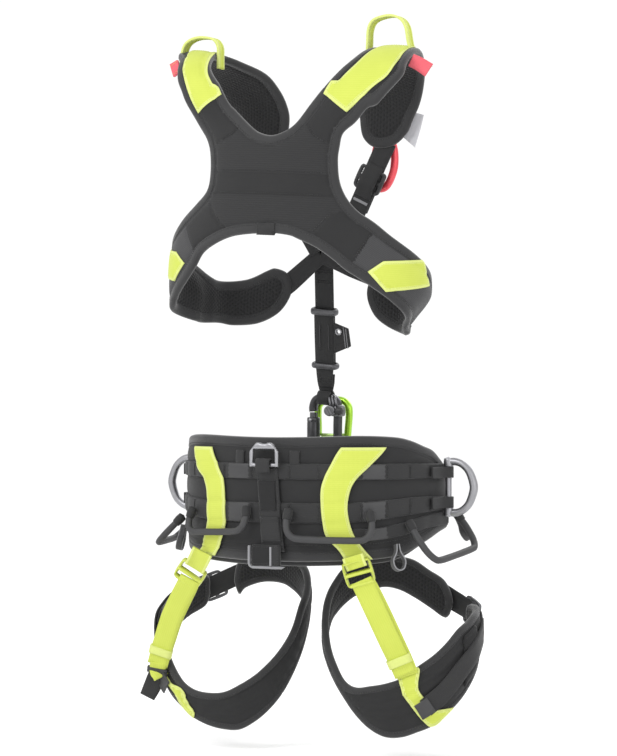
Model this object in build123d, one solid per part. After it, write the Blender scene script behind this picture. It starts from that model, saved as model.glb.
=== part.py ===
from build123d import *
import os
from math import atan2, cos, pi, radians, sin, sqrt

os.makedirs("parts", exist_ok=True)

# Tree climbing saddle: waist belt, two leg loops and a chest yoke.
# Frame: +X wearer's right, +Y wearer's front, +Z up, origin at the centre of the waist opening.
# All lengths are in millimetres.

# ---- driving dimensions -------------------------------------------------------------------
WEB = 2.2                 # thickness of one layer of webbing
WEB_WIDTH = 25.0          # narrow webbing
WAIST_WEB_WIDTH = 45.0    # waist webbing at the front
GAP = 0.3                 # play between a moving piece and what it moves in
SKIN = 1.2                # thickness of a sewn-on patch

# plan curves: half width, back y, front y, back radius, side radius, front corner radius
BELT_PLAN = (159.0, -150.0, 50.0, 220.0, 115.0, 50.0)
CHEST_PLAN = (165.0, -152.0, 8.0, 260.0, 70.0, 60.0)

BELT_PAD = 12.0           # thickness of the waist pad
BELT_LINER = 4.0          # thickness of its soft inner layer
CHEST_PAD = 11.0
LEG_PAD = 12.0

SHOULDER_Z = 460.0        # height at which the shoulder straps start to arch forward
SHOULDER_Y = -66.0
SHOULDER_R = 74.0
CHEST_ROLL = 3.5          # the yoke hangs a little lower on the wearer's right
CHEST_ROLL_Z = 400.0

LEG_RX = 97.0
LEG_RY = 82.0
LEG_Y = -10.0
LEG_X = {"left": -118.0, "right": 102.0}
LEG_HINGE_Y = 50.0
LEG_HINGE_Z = -20.0

DRING_X = 168.0
DRING_Y = -20.0
DRING_ROD = 4.5
DRING_BAR = 3.5

VENTRAL_X = -26.0
STEEL_ROD = 6.0
STEEL_Y = 53.5
STEEL_LOW_Z = 28.0
STEEL_TOP_Z = 128.0
STEEL_HALF = 16.5
ALLOY_ROD = 5.0
ALLOY_Y = 68.0

SIDES = {"left": -1, "right": 1}
NODES = {}


# ---- helpers ------------------------------------------------------------------------------
def oval_face(plan, offset):
    """Closed plan curve of arcs: flat back, rounded sides, rounded front corners."""
    half, back, front, back_r, side_r, front_r = plan
    centre_y = back + back_r
    side_y = centre_y - sqrt((back_r - side_r) ** 2 - (half - side_r) ** 2)
    turn = atan2(side_y - centre_y, half - side_r)

    def at(cx, cy, r, angle):
        return cx + (r + offset) * cos(angle), cy + (r + offset) * sin(angle)

    a = at(0, centre_y, back_r, turn)
    a_mid = at(half - side_r, side_y, side_r, turn / 2)
    b = at(half - side_r, side_y, side_r, 0)
    c = at(half - front_r, front - front_r, front_r, 0)
    c_mid = at(half - front_r, front - front_r, front_r, pi / 4)
    d = at(half - front_r, front - front_r, front_r, pi / 2)

    def flip(p):
        return -p[0], p[1]

    edges = [
        ThreePointArc(flip(a), (0, back - offset), a),
        ThreePointArc(a, a_mid, b),
        Line(b, c),
        ThreePointArc(c, c_mid, d),
        Line(d, flip(d)),
        ThreePointArc(flip(d), flip(c_mid), flip(c)),
        Line(flip(c), flip(b)),
        ThreePointArc(flip(b), flip(a_mid), flip(a)),
    ]
    return make_face(edges)


def oval_band(plan, inner, outer, low, high):
    """Wall between two offsets of a plan curve, from z low to z high."""
    ring = oval_face(plan, outer) - oval_face(plan, inner)
    return Pos(0, 0, low) * extrude(ring, high - low, dir=(0, 0, 1))


def rounded(points, radius):
    """Polygon with rounded corners."""
    face = make_face(Polyline(*points, close=True))
    return fillet(face.vertices(), radius) if radius else face


def side_slab(points, radius=0, half=260.0):
    """Prism along X of an outline given as (y, z)."""
    face = Plane.YZ * rounded(points, radius)
    return extrude(face, half, both=True)


def front_slab(points, y_low, y_high, radius=0):
    """Prism along Y of an outline given as (x, z)."""
    face = Plane.XZ * rounded(points, radius)
    return Pos(0, y_high, 0) * extrude(face, y_high - y_low)


def mirrored(points, side):
    return [(side * x, z) for x, z in points]


def block(x, y, z):
    """Box from three (low, high) pairs."""
    size = (x[1] - x[0], y[1] - y[0], z[1] - z[0])
    return Pos(x[0], y[0], z[0]) * Box(*size, align=(Align.MIN,) * 3)


def ribbon(start, end, width, thick, across=(1, 0, 0)):
    """Straight flat strap from start to end; across is the way its width runs."""
    start = Vector(*start)
    along = Vector(*end) - start
    across = Vector(*across)
    across = across - along * (across.dot(along) / along.dot(along))
    plane = Plane(origin=start, x_dir=across, z_dir=along)
    return plane * Box(width, thick, along.length, align=(Align.CENTER, Align.CENTER, Align.MIN))


def tube(path, radius):
    """Round rod along a path."""
    start = Plane(origin=path @ 0, z_dir=path % 0)
    return sweep(start * Circle(radius), path=path)


def chest_place(shape):
    """Move a piece of the yoke from its level pose to the way it hangs."""
    return Pos(0, 0, CHEST_ROLL_Z) * Rot(0, CHEST_ROLL, 0) * Pos(0, 0, -CHEST_ROLL_Z) * shape


def add(name, *shapes):
    """Record a node of one solid, or of several separate ones."""
    NODES[name] = shapes[0] if len(shapes) == 1 else Compound(children=list(shapes))


def add_chest(name, *shapes):
    add(name, *[chest_place(shape) for shape in shapes])


# ---- waist belt ---------------------------------------------------------------------------
BELT_SIDE = [(-170, 84), (-146, 84.5), (-125, 86), (-97, 84.5), (-78, 81), (-54, 74), (-38, 69), (-20, 60),
             (0, 50), (6, 40), (8, -18), (-27, -29), (-56, -37), (-82, -47), (-110, -54), (-146, -59),
             (-170, -59)]


def belt_pad():
    pad = oval_band(BELT_PLAN, -BELT_PAD, 0, -80, 90)
    add("belt_pad", pad & side_slab(BELT_SIDE))
    low = [(y, z - 5 if z < 0 else z - 10) for y, z in BELT_SIDE]
    liner = oval_band(BELT_PLAN, -BELT_PAD - BELT_LINER, -BELT_PAD, -86, 90)
    add("belt_liner", liner & side_slab(low))


def belt_webbing():
    upper = [(-170, 54), (-60, 54), (2, 52), (2, 36), (-60, 36), (-170, 36)]
    lower = [(-170, 7), (-100, 3), (-40, 8), (2, 14), (2, -4), (-40, -13), (-100, -19), (-170, -14)]
    layer = oval_band(BELT_PLAN, 0, WEB, -30, 60)
    bands = [layer & side_slab(upper), layer & side_slab(lower)]
    tabs = [back_strap([(x, 55), (x + 10, 55), (x + 10, 69), (x, 69)]) for x in (-39, 30)]
    add("belt_webbing", *bands, *tabs)


def back_strap(outline):
    layer = oval_band(BELT_PLAN, WEB, 2 * WEB, -80, 90)
    return layer & front_slab(outline, -170, -90)


def lime_straps():
    left = [(-113, 72), (-105, 49), (-94, 35), (-88, 21), (-88, -21), (-97, -42), (-106, -55),
            (-76, -56), (-68, -41), (-59, -20), (-59, 22), (-62, 36), (-70, 50), (-81, 72)]
    right = [(83, 73), (78, 65), (71, 52), (65, 38), (62, 24), (62, 4), (64, -17), (68, -30), (80, -44),
             (87, -55), (115, -55), (107, -44), (98, -30), (93, -16), (90, 4), (93, 24), (100, 38),
             (112, 52), (122, 65), (127, 73)]
    add("lime_straps", back_strap(left), back_strap(right))


RING_X = -2.5
RING_Z = 53.0
RING_Y = -159.0
RING_ROD = 2.0


def centre_strap():
    """Strap down the middle of the back; its top is folded round the bar of the rear ring."""
    strap = back_strap([(-15, 48), (12, 48), (20, -46), (-8, -46)])
    fold = block((-9, 9), (-RING_ROD - 4.0, 6.6), (-8, 5.8))
    fold -= block((-10, 10), (-RING_ROD - 1.9, RING_ROD + 1.9), (-4.6, 3.9))
    add("centre_strap", strap + Pos(RING_X, RING_Y, RING_Z) * fold)


def rear_ring():
    """Flat eight-sided ring that stands on a bar held in the folded top of the centre strap."""
    outer = [(-18.5, -3), (18.5, -3), (18.5, 16), (10, 25), (-10, 25), (-18.5, 16)]
    inner = [(-14, 2), (14, 2), (14, 14), (8, 20), (-8, 20), (-14, 14)]
    frame = front_slab(outer, -RING_ROD, RING_ROD, 1.5) - front_slab(inner, -3, 3, 1.5)
    add("rear_ring", Pos(RING_X, RING_Y, RING_Z) * frame)


def rear_keeper():
    """Bent plate in a textile sleeve at the low end of the centre strap."""
    sleeve = front_slab([(-18, -63), (20, -63), (20, -38), (-18, -38)], -162, -155)
    add("keeper_sleeve", sleeve)
    plate = front_slab([(-23, -66.5), (26, -66.5), (26, -63.2), (-19.8, -63.2), (-19.8, -41), (-23, -41)],
                       -160.5, -157)
    add("keeper_plate", plate)


def gear_loop(name, a, b, lean, drop, skew=0.0):
    """Stiff tube hung from points a and b; lean is how far out from straight down it stands."""
    a = Vector(*a)
    b = Vector(*b)
    span = b - a
    outward = Vector(span.Y, -span.X, 0).normalized()
    down = Vector(0, 0, -cos(radians(lean))) + outward * sin(radians(lean))
    plane = Plane(origin=a, x_dir=span, z_dir=span.cross(down))
    wide = span.length
    flare = 6.0
    points = [(0, 0), (-flare * 0.4, drop * 0.5), (flare, drop),
              (wide - flare, drop + skew), (wide + flare * 0.4, drop * 0.5), (wide, 0)]
    path = plane * FilletPolyline(*points, radius=11)
    add(name, tube(path, 4.0))


def gear_loops():
    gear_loop("gear_loop_rear_left", (-112, -129.5, -3), (-27, -157, 1), 16, 26)
    gear_loop("gear_loop_rear_right", (27.5, -157, -1), (116.5, -126.5, -3), 16, 31)
    gear_loop("gear_loop_side_left", (-168, 6, -8), (-149.2, -89, -15), 45, 50, -6)
    gear_loop("gear_loop_side_right", (149.2, -89, -15), (168, 6, -8), 38, 53, -5)


def small_loop(place, length, turn, lean):
    """Narrow closed textile loop that hangs from its top."""
    outline = [(-2.5, 0), (2.5, 0), (9, -length + 9), (5, -length), (-5, -length), (-9, -length + 9)]
    inner = [(-1.2, -4), (1.2, -4), (6.6, -length + 9), (3.8, -length + 2.4),
             (-3.8, -length + 2.4), (-6.6, -length + 9)]
    loop = front_slab(outline, -4, 4) - front_slab(inner, -5, 5)
    return Pos(*place) * Rot(0, 0, turn) * Rot(lean, 0, 0) * loop


def small_loops():
    loops = [small_loop((138, -101, -39), 29, 51, -12),
             small_loop((164, 20, -14), 28, 90, -28),
             small_loop((-159, -63, -26), 30, -72, -12)]
    add("accessory_loops", *loops)


def side_d_rings():
    anchors = []
    for name, side in SIDES.items():
        x = side * DRING_X
        reach = 28.0
        low, high = -4.5, 54.5
        mid = (low + high) / 2
        bow_r = (high - low) / 2 - 6
        corner = x + side * (reach - bow_r)
        top = Polyline((x, DRING_Y, high), (corner, DRING_Y, high))
        bow = ThreePointArc((corner, DRING_Y, high), (x + side * (reach + 4), DRING_Y, mid),
                            (corner, DRING_Y, low))
        foot = Polyline((corner, DRING_Y, low), (x, DRING_Y, low))
        loop = tube(Wire([*top.edges(), *bow.edges(), *foot.edges()]), DRING_ROD)
        bar = Pos(x, DRING_Y, low - 2) * Cylinder(DRING_BAR, high - low + 4,
                                                 align=(Align.CENTER, Align.CENTER, Align.MIN))
        eyes = [Pos(x, DRING_Y, z) * Cylinder(5.6, 9) for z in (low, high)]
        add("d_ring_" + name, loop + bar + eyes[0] + eyes[1])
        anchors += d_ring_anchors(side)
    add("d_ring_anchors", *anchors)


def d_ring_anchors(side):
    """Two folds of webbing sewn to the belt, each round the ring's bar."""
    pieces = []
    for low, high in ((1, 14), (36, 49)):
        tall = high - low
        sleeve = Pos(side * DRING_X, DRING_Y, low) * Cylinder(DRING_BAR + GAP + WEB, tall,
                                                             align=(Align.CENTER, Align.CENTER, Align.MIN))
        plate = oval_band(BELT_PLAN, WEB, 2 * WEB, low, high)
        plate &= block(sorted((0, side * 200)), (DRING_Y - 45, DRING_Y + 1), (low, high))
        hole = Pos(side * DRING_X, DRING_Y, low - 1) * Cylinder(DRING_BAR + GAP, tall + 2,
                                                               align=(Align.CENTER, Align.CENTER, Align.MIN))
        pieces.append(sleeve + plate - hole)
    return pieces


# ---- front of the waist -------------------------------------------------------------------
FRONT_OUT = -6.0
WAIST_LOW = -9.0
WAIST_HIGH = WAIST_LOW + WAIST_WEB_WIDTH
FRONT_FACE = BELT_PLAN[2] + FRONT_OUT      # outer face of the waist webbing at the front
BUCKLE_X = (26.0, 76.0)


def waist_straps():
    layer = oval_band(BELT_PLAN, FRONT_OUT - WEB - 0.4, FRONT_OUT, WAIST_LOW, WAIST_HIGH)
    front = block((-200, 200), (11, 60), (-100, 100))
    left = layer & front & block((-200, 10), (0, 60), (-100, 100))
    right = layer & front & block((BUCKLE_X[1] - 8, 200), (0, 60), (-100, 100))
    add("waist_straps", left, right)


def waist_buckle():
    """Frame with two spring buttons; the tongue slides in from the left."""
    low, high = WAIST_LOW - 8, WAIST_HIGH + 8
    y0 = FRONT_FACE + 0.2
    y1 = y0 + 11
    frame = block(BUCKLE_X, (y0, y1), (low, high))
    frame = fillet(frame.edges().filter_by(Axis.Y), 5)
    frame -= block((BUCKLE_X[0] - 1, BUCKLE_X[1] - 16), (y0 + 2, y1 - 2.5), (low + 9, high - 9))
    for z in ((low - 1, low + 9.1), (high - 9.1, high + 1)):
        frame -= block((BUCKLE_X[0] + 10, BUCKLE_X[0] + 24), (y0 + 2.6, y1 - 3), z)
    add("waist_buckle_frame", frame)
    tongue = block((BUCKLE_X[0] - 18, BUCKLE_X[1] - 17), (y0 + 3, y0 + 6.5), (low + 10, high - 10))
    tongue -= block((BUCKLE_X[0] - 14, BUCKLE_X[0] - 9), (y0, y1), (low + 13, high - 13))
    for z in ((low + 9, low + 15), (high - 15, high - 9)):
        tongue -= block((BUCKLE_X[0] + 9, BUCKLE_X[0] + 25), (y0, y1), z)
    add("waist_buckle_tongue", tongue)
    for name, z in (("low", (low - 2.5, low + 11)), ("high", (high - 11, high + 2.5))):
        button = block((BUCKLE_X[0] + 10 + GAP, BUCKLE_X[0] + 24 - GAP), (y0 + 2.6 + GAP, y1 - 3 - GAP), z)
        add("buckle_button_" + name, button)


def ventral_loop():
    """Upright loop of webbing at the front that the two connectors share."""
    y0 = FRONT_FACE + 0.2
    y1 = ALLOY_Y + ALLOY_ROD + 3.8
    outline = [(y0, -16), (y1, -16), (y1, 39), (y0, 39)]
    hole = [(y0 + 2.6, -13.4), (y1 - 2.6, -13.4), (y1 - 2.6, 36.4), (y0 + 2.6, 36.4)]
    loop = side_slab(outline, 3, 8.5) - side_slab(hole, 1.5, 12)
    add("ventral_loop", Pos(VENTRAL_X, 0, 0) * loop)


# ---- connectors ---------------------------------------------------------------------------
GATE_LOW = 44.0
GATE_HIGH = 110.0
GATE_R = 4.6
SLEEVE_R = 8.3


def steel_connector():
    """Oval steel connector: body open on the left, gate with a turning locking sleeve."""
    r = 10.0
    x0, x1 = VENTRAL_X - STEEL_HALF, VENTRAL_X + STEEL_HALF
    z0, z1 = STEEL_LOW_Z, STEEL_TOP_Z
    plane = Plane(origin=(0, STEEL_Y, 0), x_dir=(1, 0, 0), z_dir=(0, -1, 0))
    path = FilletPolyline((x0, GATE_LOW - 4), (x0, z0), (x1, z0), (x1, z1), (x0, z1), (x0, GATE_HIGH + 0.4),
                          radius=r)
    add("steel_connector_body", tube(plane * path, STEEL_ROD))
    gate = Pos(x0, STEEL_Y, GATE_LOW - 1) * Cylinder(GATE_R, GATE_HIGH - GATE_LOW + 1,
                                                    align=(Align.CENTER, Align.CENTER, Align.MIN))
    add("steel_connector_gate", gate)
    sleeve = Pos(x0, STEEL_Y, 58) * (
        Cylinder(SLEEVE_R, 46, align=(Align.CENTER, Align.CENTER, Align.MIN))
        - Cylinder(GATE_R + 0.08, 46, align=(Align.CENTER, Align.CENTER, Align.MIN)))
    add("steel_connector_sleeve", sleeve)
    clamp = Pos(x1, STEEL_Y, 112) * (Cylinder(9.6, 12) - Cylinder(STEEL_ROD, 14))
    lug = block((x1 - 13, x1 - 1), (STEEL_Y - 13, STEEL_Y - 6.2), (106, 118))
    add("connector_clamp", clamp + lug)


def alloy_connector():
    """Pear-shaped alloy connector behind the steel one, with a plain gate and a captive bar."""
    plane = Plane(origin=(0, ALLOY_Y, 0), x_dir=(1, 0, 0), z_dir=(0, -1, 0))
    path = FilletPolyline((-42.5, 38), (-41.5, 24), (-9, 24), (-3, 80), (0, 124), (-44, 124), (-43, 79),
                          radius=8.5)
    add("alloy_connector_body", tube(plane * path, ALLOY_ROD))
    add("alloy_connector_gate", tube(plane * Line((-42.6, 39.5), (-43, 78)), 4.0))
    add("captive_bar", tube(plane * Line((-39, 82), (-6.5, 82)), 1.8))


# ---- chest yoke, drawn level ---------------------------------------------------------------
# Outlines are given as (x, z), and those named by side have x counted outward from the middle.
PANEL = [(37, 460), (112, 460), (98, 448), (85, 436), (82, 420), (81, 405), (84, 382), (92, 364), (78, 294),
         (60, 305), (40, 313), (4, 319), (-20, 317), (-48, 313), (-73, 304), (-90, 366), (-86, 385),
         (-88, 409), (-94, 424), (-106, 440), (-118, 460), (-55, 460), (-32, 442), (-18, 434), (-2, 431),
         (12, 435), (24, 443)]
SHOULDER_RAISE = {"left": 0.0, "right": 8.0}      # how much higher the right strap arches
SHOULDER_BACK = {
    "left": [(55, 460), (65, 469), (81, 491), (104, 516), (112, 528), (118, 545), (168, 545), (164, 534),
             (152, 524), (146, 512), (139, 496), (130, 482), (118, 460)],
    "right": [(37, 460), (35, 466), (55, 488), (71, 512), (82, 530), (90, 555), (142, 555), (146, 530),
              (150, 510), (143, 495), (126, 474), (112, 460)],
}
SHOULDER_FRONT = {
    "left": [(54, 460), (58, 481), (66, 500), (77, 519), (107, 530), (118, 545), (168, 545), (168, 530),
             (162, 508), (154, 495), (141, 476), (126, 460)],
    "right": [(40, 460), (38, 485), (44, 505), (52, 524), (80, 545), (90, 555), (142, 555), (138, 540),
              (130, 525), (120, 506), (110, 483), (100, 460)],
}
LOBE = {
    "left": [(54, 460), (126, 460), (111, 431), (94, 418), (71, 417), (58, 430)],
    "right": [(40, 460), (100, 460), (97, 451), (83, 436), (61, 431), (46, 441)],
}
SHOULDER_PATCH = {
    "left": [(104, 461), (74, 478), (81, 487), (91, 492), (112, 518), (125, 545), (146, 545), (143, 528),
             (138, 511), (133, 503)],
    "right": [(58, 481), (89, 461), (120, 489), (131, 503), (142, 522), (140, 545), (113, 545), (92, 521),
              (76, 497), (66, 496)],
}
PULL_OUTER = {"left": [(110, 520), (113, 540), (124, 552), (150, 551), (161, 541), (163, 518)],
              "right": [(81, 530), (81, 560), (88, 574), (114, 579), (128, 571), (135, 530)]}
PULL_INNER = {"left": [(113, 520), (116, 539), (126, 549), (149, 548), (158, 539), (160, 518)],
              "right": [(84, 530), (84, 559), (90, 571), (113, 576), (125, 569), (132, 530)]}
PULL_TAB = {"left": [(151, 502), (159, 499), (159, 517), (151, 519)],
            "right": [(150.6, 509), (166, 504), (170, 523), (150.6, 533)]}
PULL_TAB_Y = {"left": -110.0, "right": -96.0}
WING_BACK = {
    "left": [(90, 366), (106, 351), (127, 335), (146, 318), (162, 300), (172, 284), (172, 212), (156, 222),
             (140, 240), (122, 258), (106, 276), (94, 292), (73, 304)],
    "right": [(92, 364), (105, 349), (123, 337), (143, 321), (161, 304), (172, 286), (172, 212), (158, 232),
              (142, 250), (128, 260), (113, 270), (95, 281), (78, 294)],
}
WING_FRONT = {
    "left": [(172, 284), (150, 266), (132, 260), (99, 265), (71, 277), (62, 281), (45, 275), (38, 262),
             (50, 236), (82, 213), (114, 209), (136, 211), (172, 212)],
    "right": [(172, 284), (158, 266), (148, 260), (121, 265), (95, 277), (86, 281), (69, 275), (62, 262),
              (74, 236), (104, 213), (132, 209), (152, 211), (172, 212)],
}
WING_PATCH = [(120, 279), (139, 259), (171, 268), (157, 298), (134, 293)]
WING_SPLIT_Y = -55.0


def back_panel():
    pad = oval_band(CHEST_PLAN, -CHEST_PAD, 0, 280, SHOULDER_Z)
    add_chest("back_panel", pad & front_slab(PANEL, -170, -60))


def arch(inner, outer, x, raised):
    """Half ring over the shoulder between two radii, on upright legs where it is raised."""
    ring = Plane.YZ * (Circle(outer) - Circle(inner))
    whole = Pos(x[0], SHOULDER_Y, SHOULDER_Z + raised) * extrude(ring, x[1] - x[0])
    whole &= block(x, (-200, 100), (SHOULDER_Z + raised, 700))
    if raised:
        for way in (-1, 1):
            y = sorted((SHOULDER_Y + way * inner, SHOULDER_Y + way * outer))
            whole += block(x, y, (SHOULDER_Z, SHOULDER_Z + raised))
    return whole


def shoulders():
    patches = []
    for name, side in SIDES.items():
        x = sorted((side * 30, side * 175))
        raised = SHOULDER_RAISE[name]
        over = arch(SHOULDER_R - CHEST_PAD, SHOULDER_R, x, raised)
        over &= (front_slab(mirrored(SHOULDER_BACK[name], side), -170, SHOULDER_Y)
                 + front_slab(mirrored(SHOULDER_FRONT[name], side), SHOULDER_Y, 60))
        front = front_slab(mirrored(LOBE[name], side), 8 - CHEST_PAD, 8)
        add_chest("shoulder_strap_" + name, over + front)
        patch = arch(SHOULDER_R, SHOULDER_R + SKIN, x, raised)
        patches.append(patch & front_slab(mirrored(SHOULDER_PATCH[name], side), -170, SHOULDER_Y))
    return patches


def pull_loops():
    """Webbing handles that stand across the tops of the shoulders, and their end tabs."""
    loops = []
    tabs = []
    for name, side in SIDES.items():
        shape = front_slab(mirrored(PULL_OUTER[name], side), -80, -64)
        shape -= front_slab(mirrored(PULL_INNER[name], side), -81, -63)
        shape -= arch(0.1, SHOULDER_R + SKIN, (-200, 200), SHOULDER_RAISE[name])
        loops.append(shape)
        y = PULL_TAB_Y[name]
        tabs.append(front_slab(mirrored(PULL_TAB[name], side), y, y + 8))
    add_chest("pull_loops", *loops)
    add_chest("pull_tabs", *tabs)


def wings():
    patches = []
    for name, side in SIDES.items():
        pad = oval_band(CHEST_PLAN, -CHEST_PAD, 0, 190, 370)
        back = pad & front_slab(mirrored(WING_BACK[name], side), -170, WING_SPLIT_Y)
        front = pad & front_slab(mirrored(WING_FRONT[name], side), WING_SPLIT_Y, 30)
        add_chest("side_wing_" + name, back + front)
        skin = oval_band(CHEST_PLAN, 0, SKIN, 190, 370)
        patches.append(skin & front_slab(mirrored(WING_PATCH, side), -170, -74))
    return patches


STERNUM = ((-22, 16), (-1, 6.5), (290, 322))
CHEST_WEB = {"left": ((-85, 3, 417), (-8, 3, 294)), "right": ((74, 3, 431), (18, 3, 297))}
UNDER_WEB_X = {"left": -44.0, "right": 68.0}
ADJUSTER_Z = {"left": 378.0, "right": 391.0}


def chest_webbing():
    plate = block(*STERNUM)
    webs = [plate]
    locks = []
    for name, side in SIDES.items():
        top, low = CHEST_WEB[name]
        half = sorted((side * 200, -3))
        web = ribbon(top, low, WEB_WIDTH, WEB) - plate
        web &= block(half, (-10, 20), (280, top[2] - 0.5))
        web = max(web.solids(), key=lambda s: s.volume)
        webs.append(web)
        under = ribbon((UNDER_WEB_X[name], 3, 262), (side * 2 - 3, 3, 300), 22, WEB, (0, 0, 1)) - plate
        under -= front_slab(mirrored(WING_FRONT[name], side), -40, 30)
        under &= block(half, (-10, 20), (200, 340))
        webs.append(max(under.solids(), key=lambda s: s.volume) - web)
        slope = (top[0] - low[0]) / (top[2] - low[2])
        z = ADJUSTER_Z[name]
        place = Plane(origin=(low[0] + slope * (z - low[2]), 3, z), x_dir=Vector(1, 0, -slope),
                      z_dir=Vector(0, -1, 0))
        locks.append(place * ladder_lock(36, 30) - web)
    add_chest("chest_webbing", *webs)
    add_chest("shoulder_adjusters", *locks)


def ladder_lock(wide, tall):
    """Flat frame with two cross slots and a middle bar, drawn about its centre."""
    frame = Box(wide, tall, 6)
    frame = fillet(frame.edges().filter_by(Axis.Z), 4)
    slot = Box(WEB_WIDTH + 2, tall / 2 - 5, 10)
    frame -= Pos(0, tall / 4 - 0.5, 0) * slot
    frame -= Pos(0, -tall / 4 + 0.5, 0) * slot
    return frame


def red_ring():
    """Curved gear ring behind the right shoulder webbing."""
    plane = Plane(origin=(70, 14, 412), x_dir=(1, 0, 0), z_dir=(0, -1, 0))
    path = FilletPolyline((-9, 24), (9, 24), (13, -4), (4, -27), (-9, -27), (-13, 0), close=True, radius=6)
    add_chest("red_ring", tube(plane * path, 3.0))


def care_label():
    outline = [(108, 474), (120, 471), (111, 431), (95, 443)]
    add_chest("care_label", front_slab(outline, 9, 10.5))


# ---- front strap between sternum and steel connector ---------------------------------------
STRAP_TOP = Vector(-9.5, 12, 300)
STRAP_LOW = Vector(VENTRAL_X, STEEL_Y, STEEL_TOP_Z)


def strap_frame():
    """Local frame of the front strap: x across, y out to the front, z up along the strap."""
    along = STRAP_TOP - STRAP_LOW
    front = Vector(0, 1, 0)
    front = front - along * (front.dot(along) / along.dot(along))
    across = front.cross(along)
    return Plane(origin=STRAP_LOW, x_dir=across, z_dir=along)


def front_strap():
    frame = strap_frame()
    length = (STRAP_TOP - STRAP_LOW).length
    eye = STEEL_ROD + 1.0
    loop = Rot(0, 90, 0) * Cylinder(eye + WEB, 11)
    lower = loop + block((-5.5, 5.5), (-WEB, WEB), (0, 16)) - Rot(0, 90, 0) * Cylinder(eye, 14)
    lower += block((-12.5, 12.5), (-WEB, WEB), (15.5, 34))
    lower += block((-12.5, 12.5), (-WEB, 0), (33, 108))
    add("front_strap_lower", frame * lower)
    upper = block((-12.5, 12.5), (GAP, WEB + GAP), (42, length))
    upper += block((-12.5, 12.5), (GAP, 2 * WEB + 2 * GAP), (39.8, 42))
    upper += block((-12.5, 12.5), (WEB + 2 * GAP, 2 * WEB + 2 * GAP), (41, 110))
    add("front_strap_upper", frame * upper)
    for name, z, tall in (("upper", 104, 8), ("lower", 37, 7)):
        ring = block((-17, 17), (-WEB - 3, 2 * WEB + 3.6), (z, z + tall))
        ring = fillet(ring.edges().filter_by(Axis.Z), 2.4)
        ring -= block((-12.5 - GAP, 12.5 + GAP), (-WEB - GAP, 2 * WEB + 3 * GAP), (z - 1, z + tall + 1))
        add("strap_slider_" + name, frame * ring)
    tab = front_slab([(12.8, 96), (33, 90), (36, 68), (12.8, 58)], -WEB - 0.2, 0)
    tab -= Pos(20, 0, 85) * Rot(90, 0, 0) * Cylinder(2.6, 20)
    add("strap_end_tab", frame * tab)
    eyelet = Cylinder(4.4, WEB + 1.4) - Cylinder(2.0, 10)
    eyelet -= Cylinder(6, WEB - 0.2 + 0.4) - Cylinder(2.5, 10)
    add("strap_eyelet", frame * (Pos(20, -WEB / 2 - 0.1, 85) * Rot(90, 0, 0) * eyelet))


# ---- leg loops -----------------------------------------------------------------------------
# Outline of each leg loop as (y, z), for its outer half and for the half between the legs.
LEG_EDGES = {
    "left": {
        "outer": [(-110, -222), (-92, -223), (-87.5, -214), (-76, -191), (-51, -155), (-24, -128),
                  (15, -105), (40.5, -95), (49, -84), (59.5, -75), (90, -62), (90, -101), (70, -108),
                  (64, -127), (54, -137), (32, -140), (-17, -168), (-51, -198), (-76, -228),
        (-87.5, -244), (-92, -260), (-110, -260)], "inner": [(90, -62), (57, -66), (31, -84), (-13, -118),
                  (-23, -137), (-50, -171), (-71, -197), (-92, -223), (-110, -222), (-110, -260),
                  (-92, -260), (-83, -264), (-68, -251), (-45, -220), (-13, -174), (14, -135),
    (59.5, -109), (67.5, -102), (90, -101)], },
    "right": {
        "outer": [(-110, -202), (-92, -202), (-86, -192), (-78, -178), (-60.5, -160), (-43, -140),
                  (-10, -124), (51, -108), (61, -102), (71, -84), (90, -76), (90, -122), (69, -136),
                  (63, -140), (38, -160), (3, -186), (-39, -222), (-68, -248), (-85.5, -261), (-92, -256),
        (-110, -256)], "inner": [(90, -76), (70.5, -66), (53, -58), (18, -76), (-24, -112), (-63, -165),
                  (-86, -206), (-92, -202), (-110, -202), (-110, -256), (-92, -256), (-84, -222),
                  (-62, -183), (-17, -142), (31, -112), (59, -101), (72, -115), (90, -122)],
    },
}
LEG_BRIDGE = {"left": -105.0, "right": -121.0}      # middle height of the webbing over the gap


def leg_gap(side, start, end):
    """Wedge over the gap in a leg loop, between two angles from the outer side forward."""
    far = 160
    corners = [(0, 0)] + [(side * far * cos(radians(a)), far * sin(radians(a))) for a in (start, end)]
    return Pos(0, 0, -300) * extrude(make_face(Polyline(*corners, close=True)), 300, dir=(0, 0, 1))


def leg_wall(inner, outer):
    ring = Ellipse(LEG_RX + outer, LEG_RY + outer) - Ellipse(LEG_RX + inner, LEG_RY + inner)
    return Pos(0, LEG_Y, -300) * extrude(ring, 300, dir=(0, 0, 1))


def leg_slab(points, side, half="outer"):
    """Prism over one half of a leg loop of an outline given as (y, z)."""
    face = Plane.YZ * make_face(Polyline(*points, close=True))
    way = side if half == "outer" else -side
    return extrude(face, 130, dir=(way, 0, 0))


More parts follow.
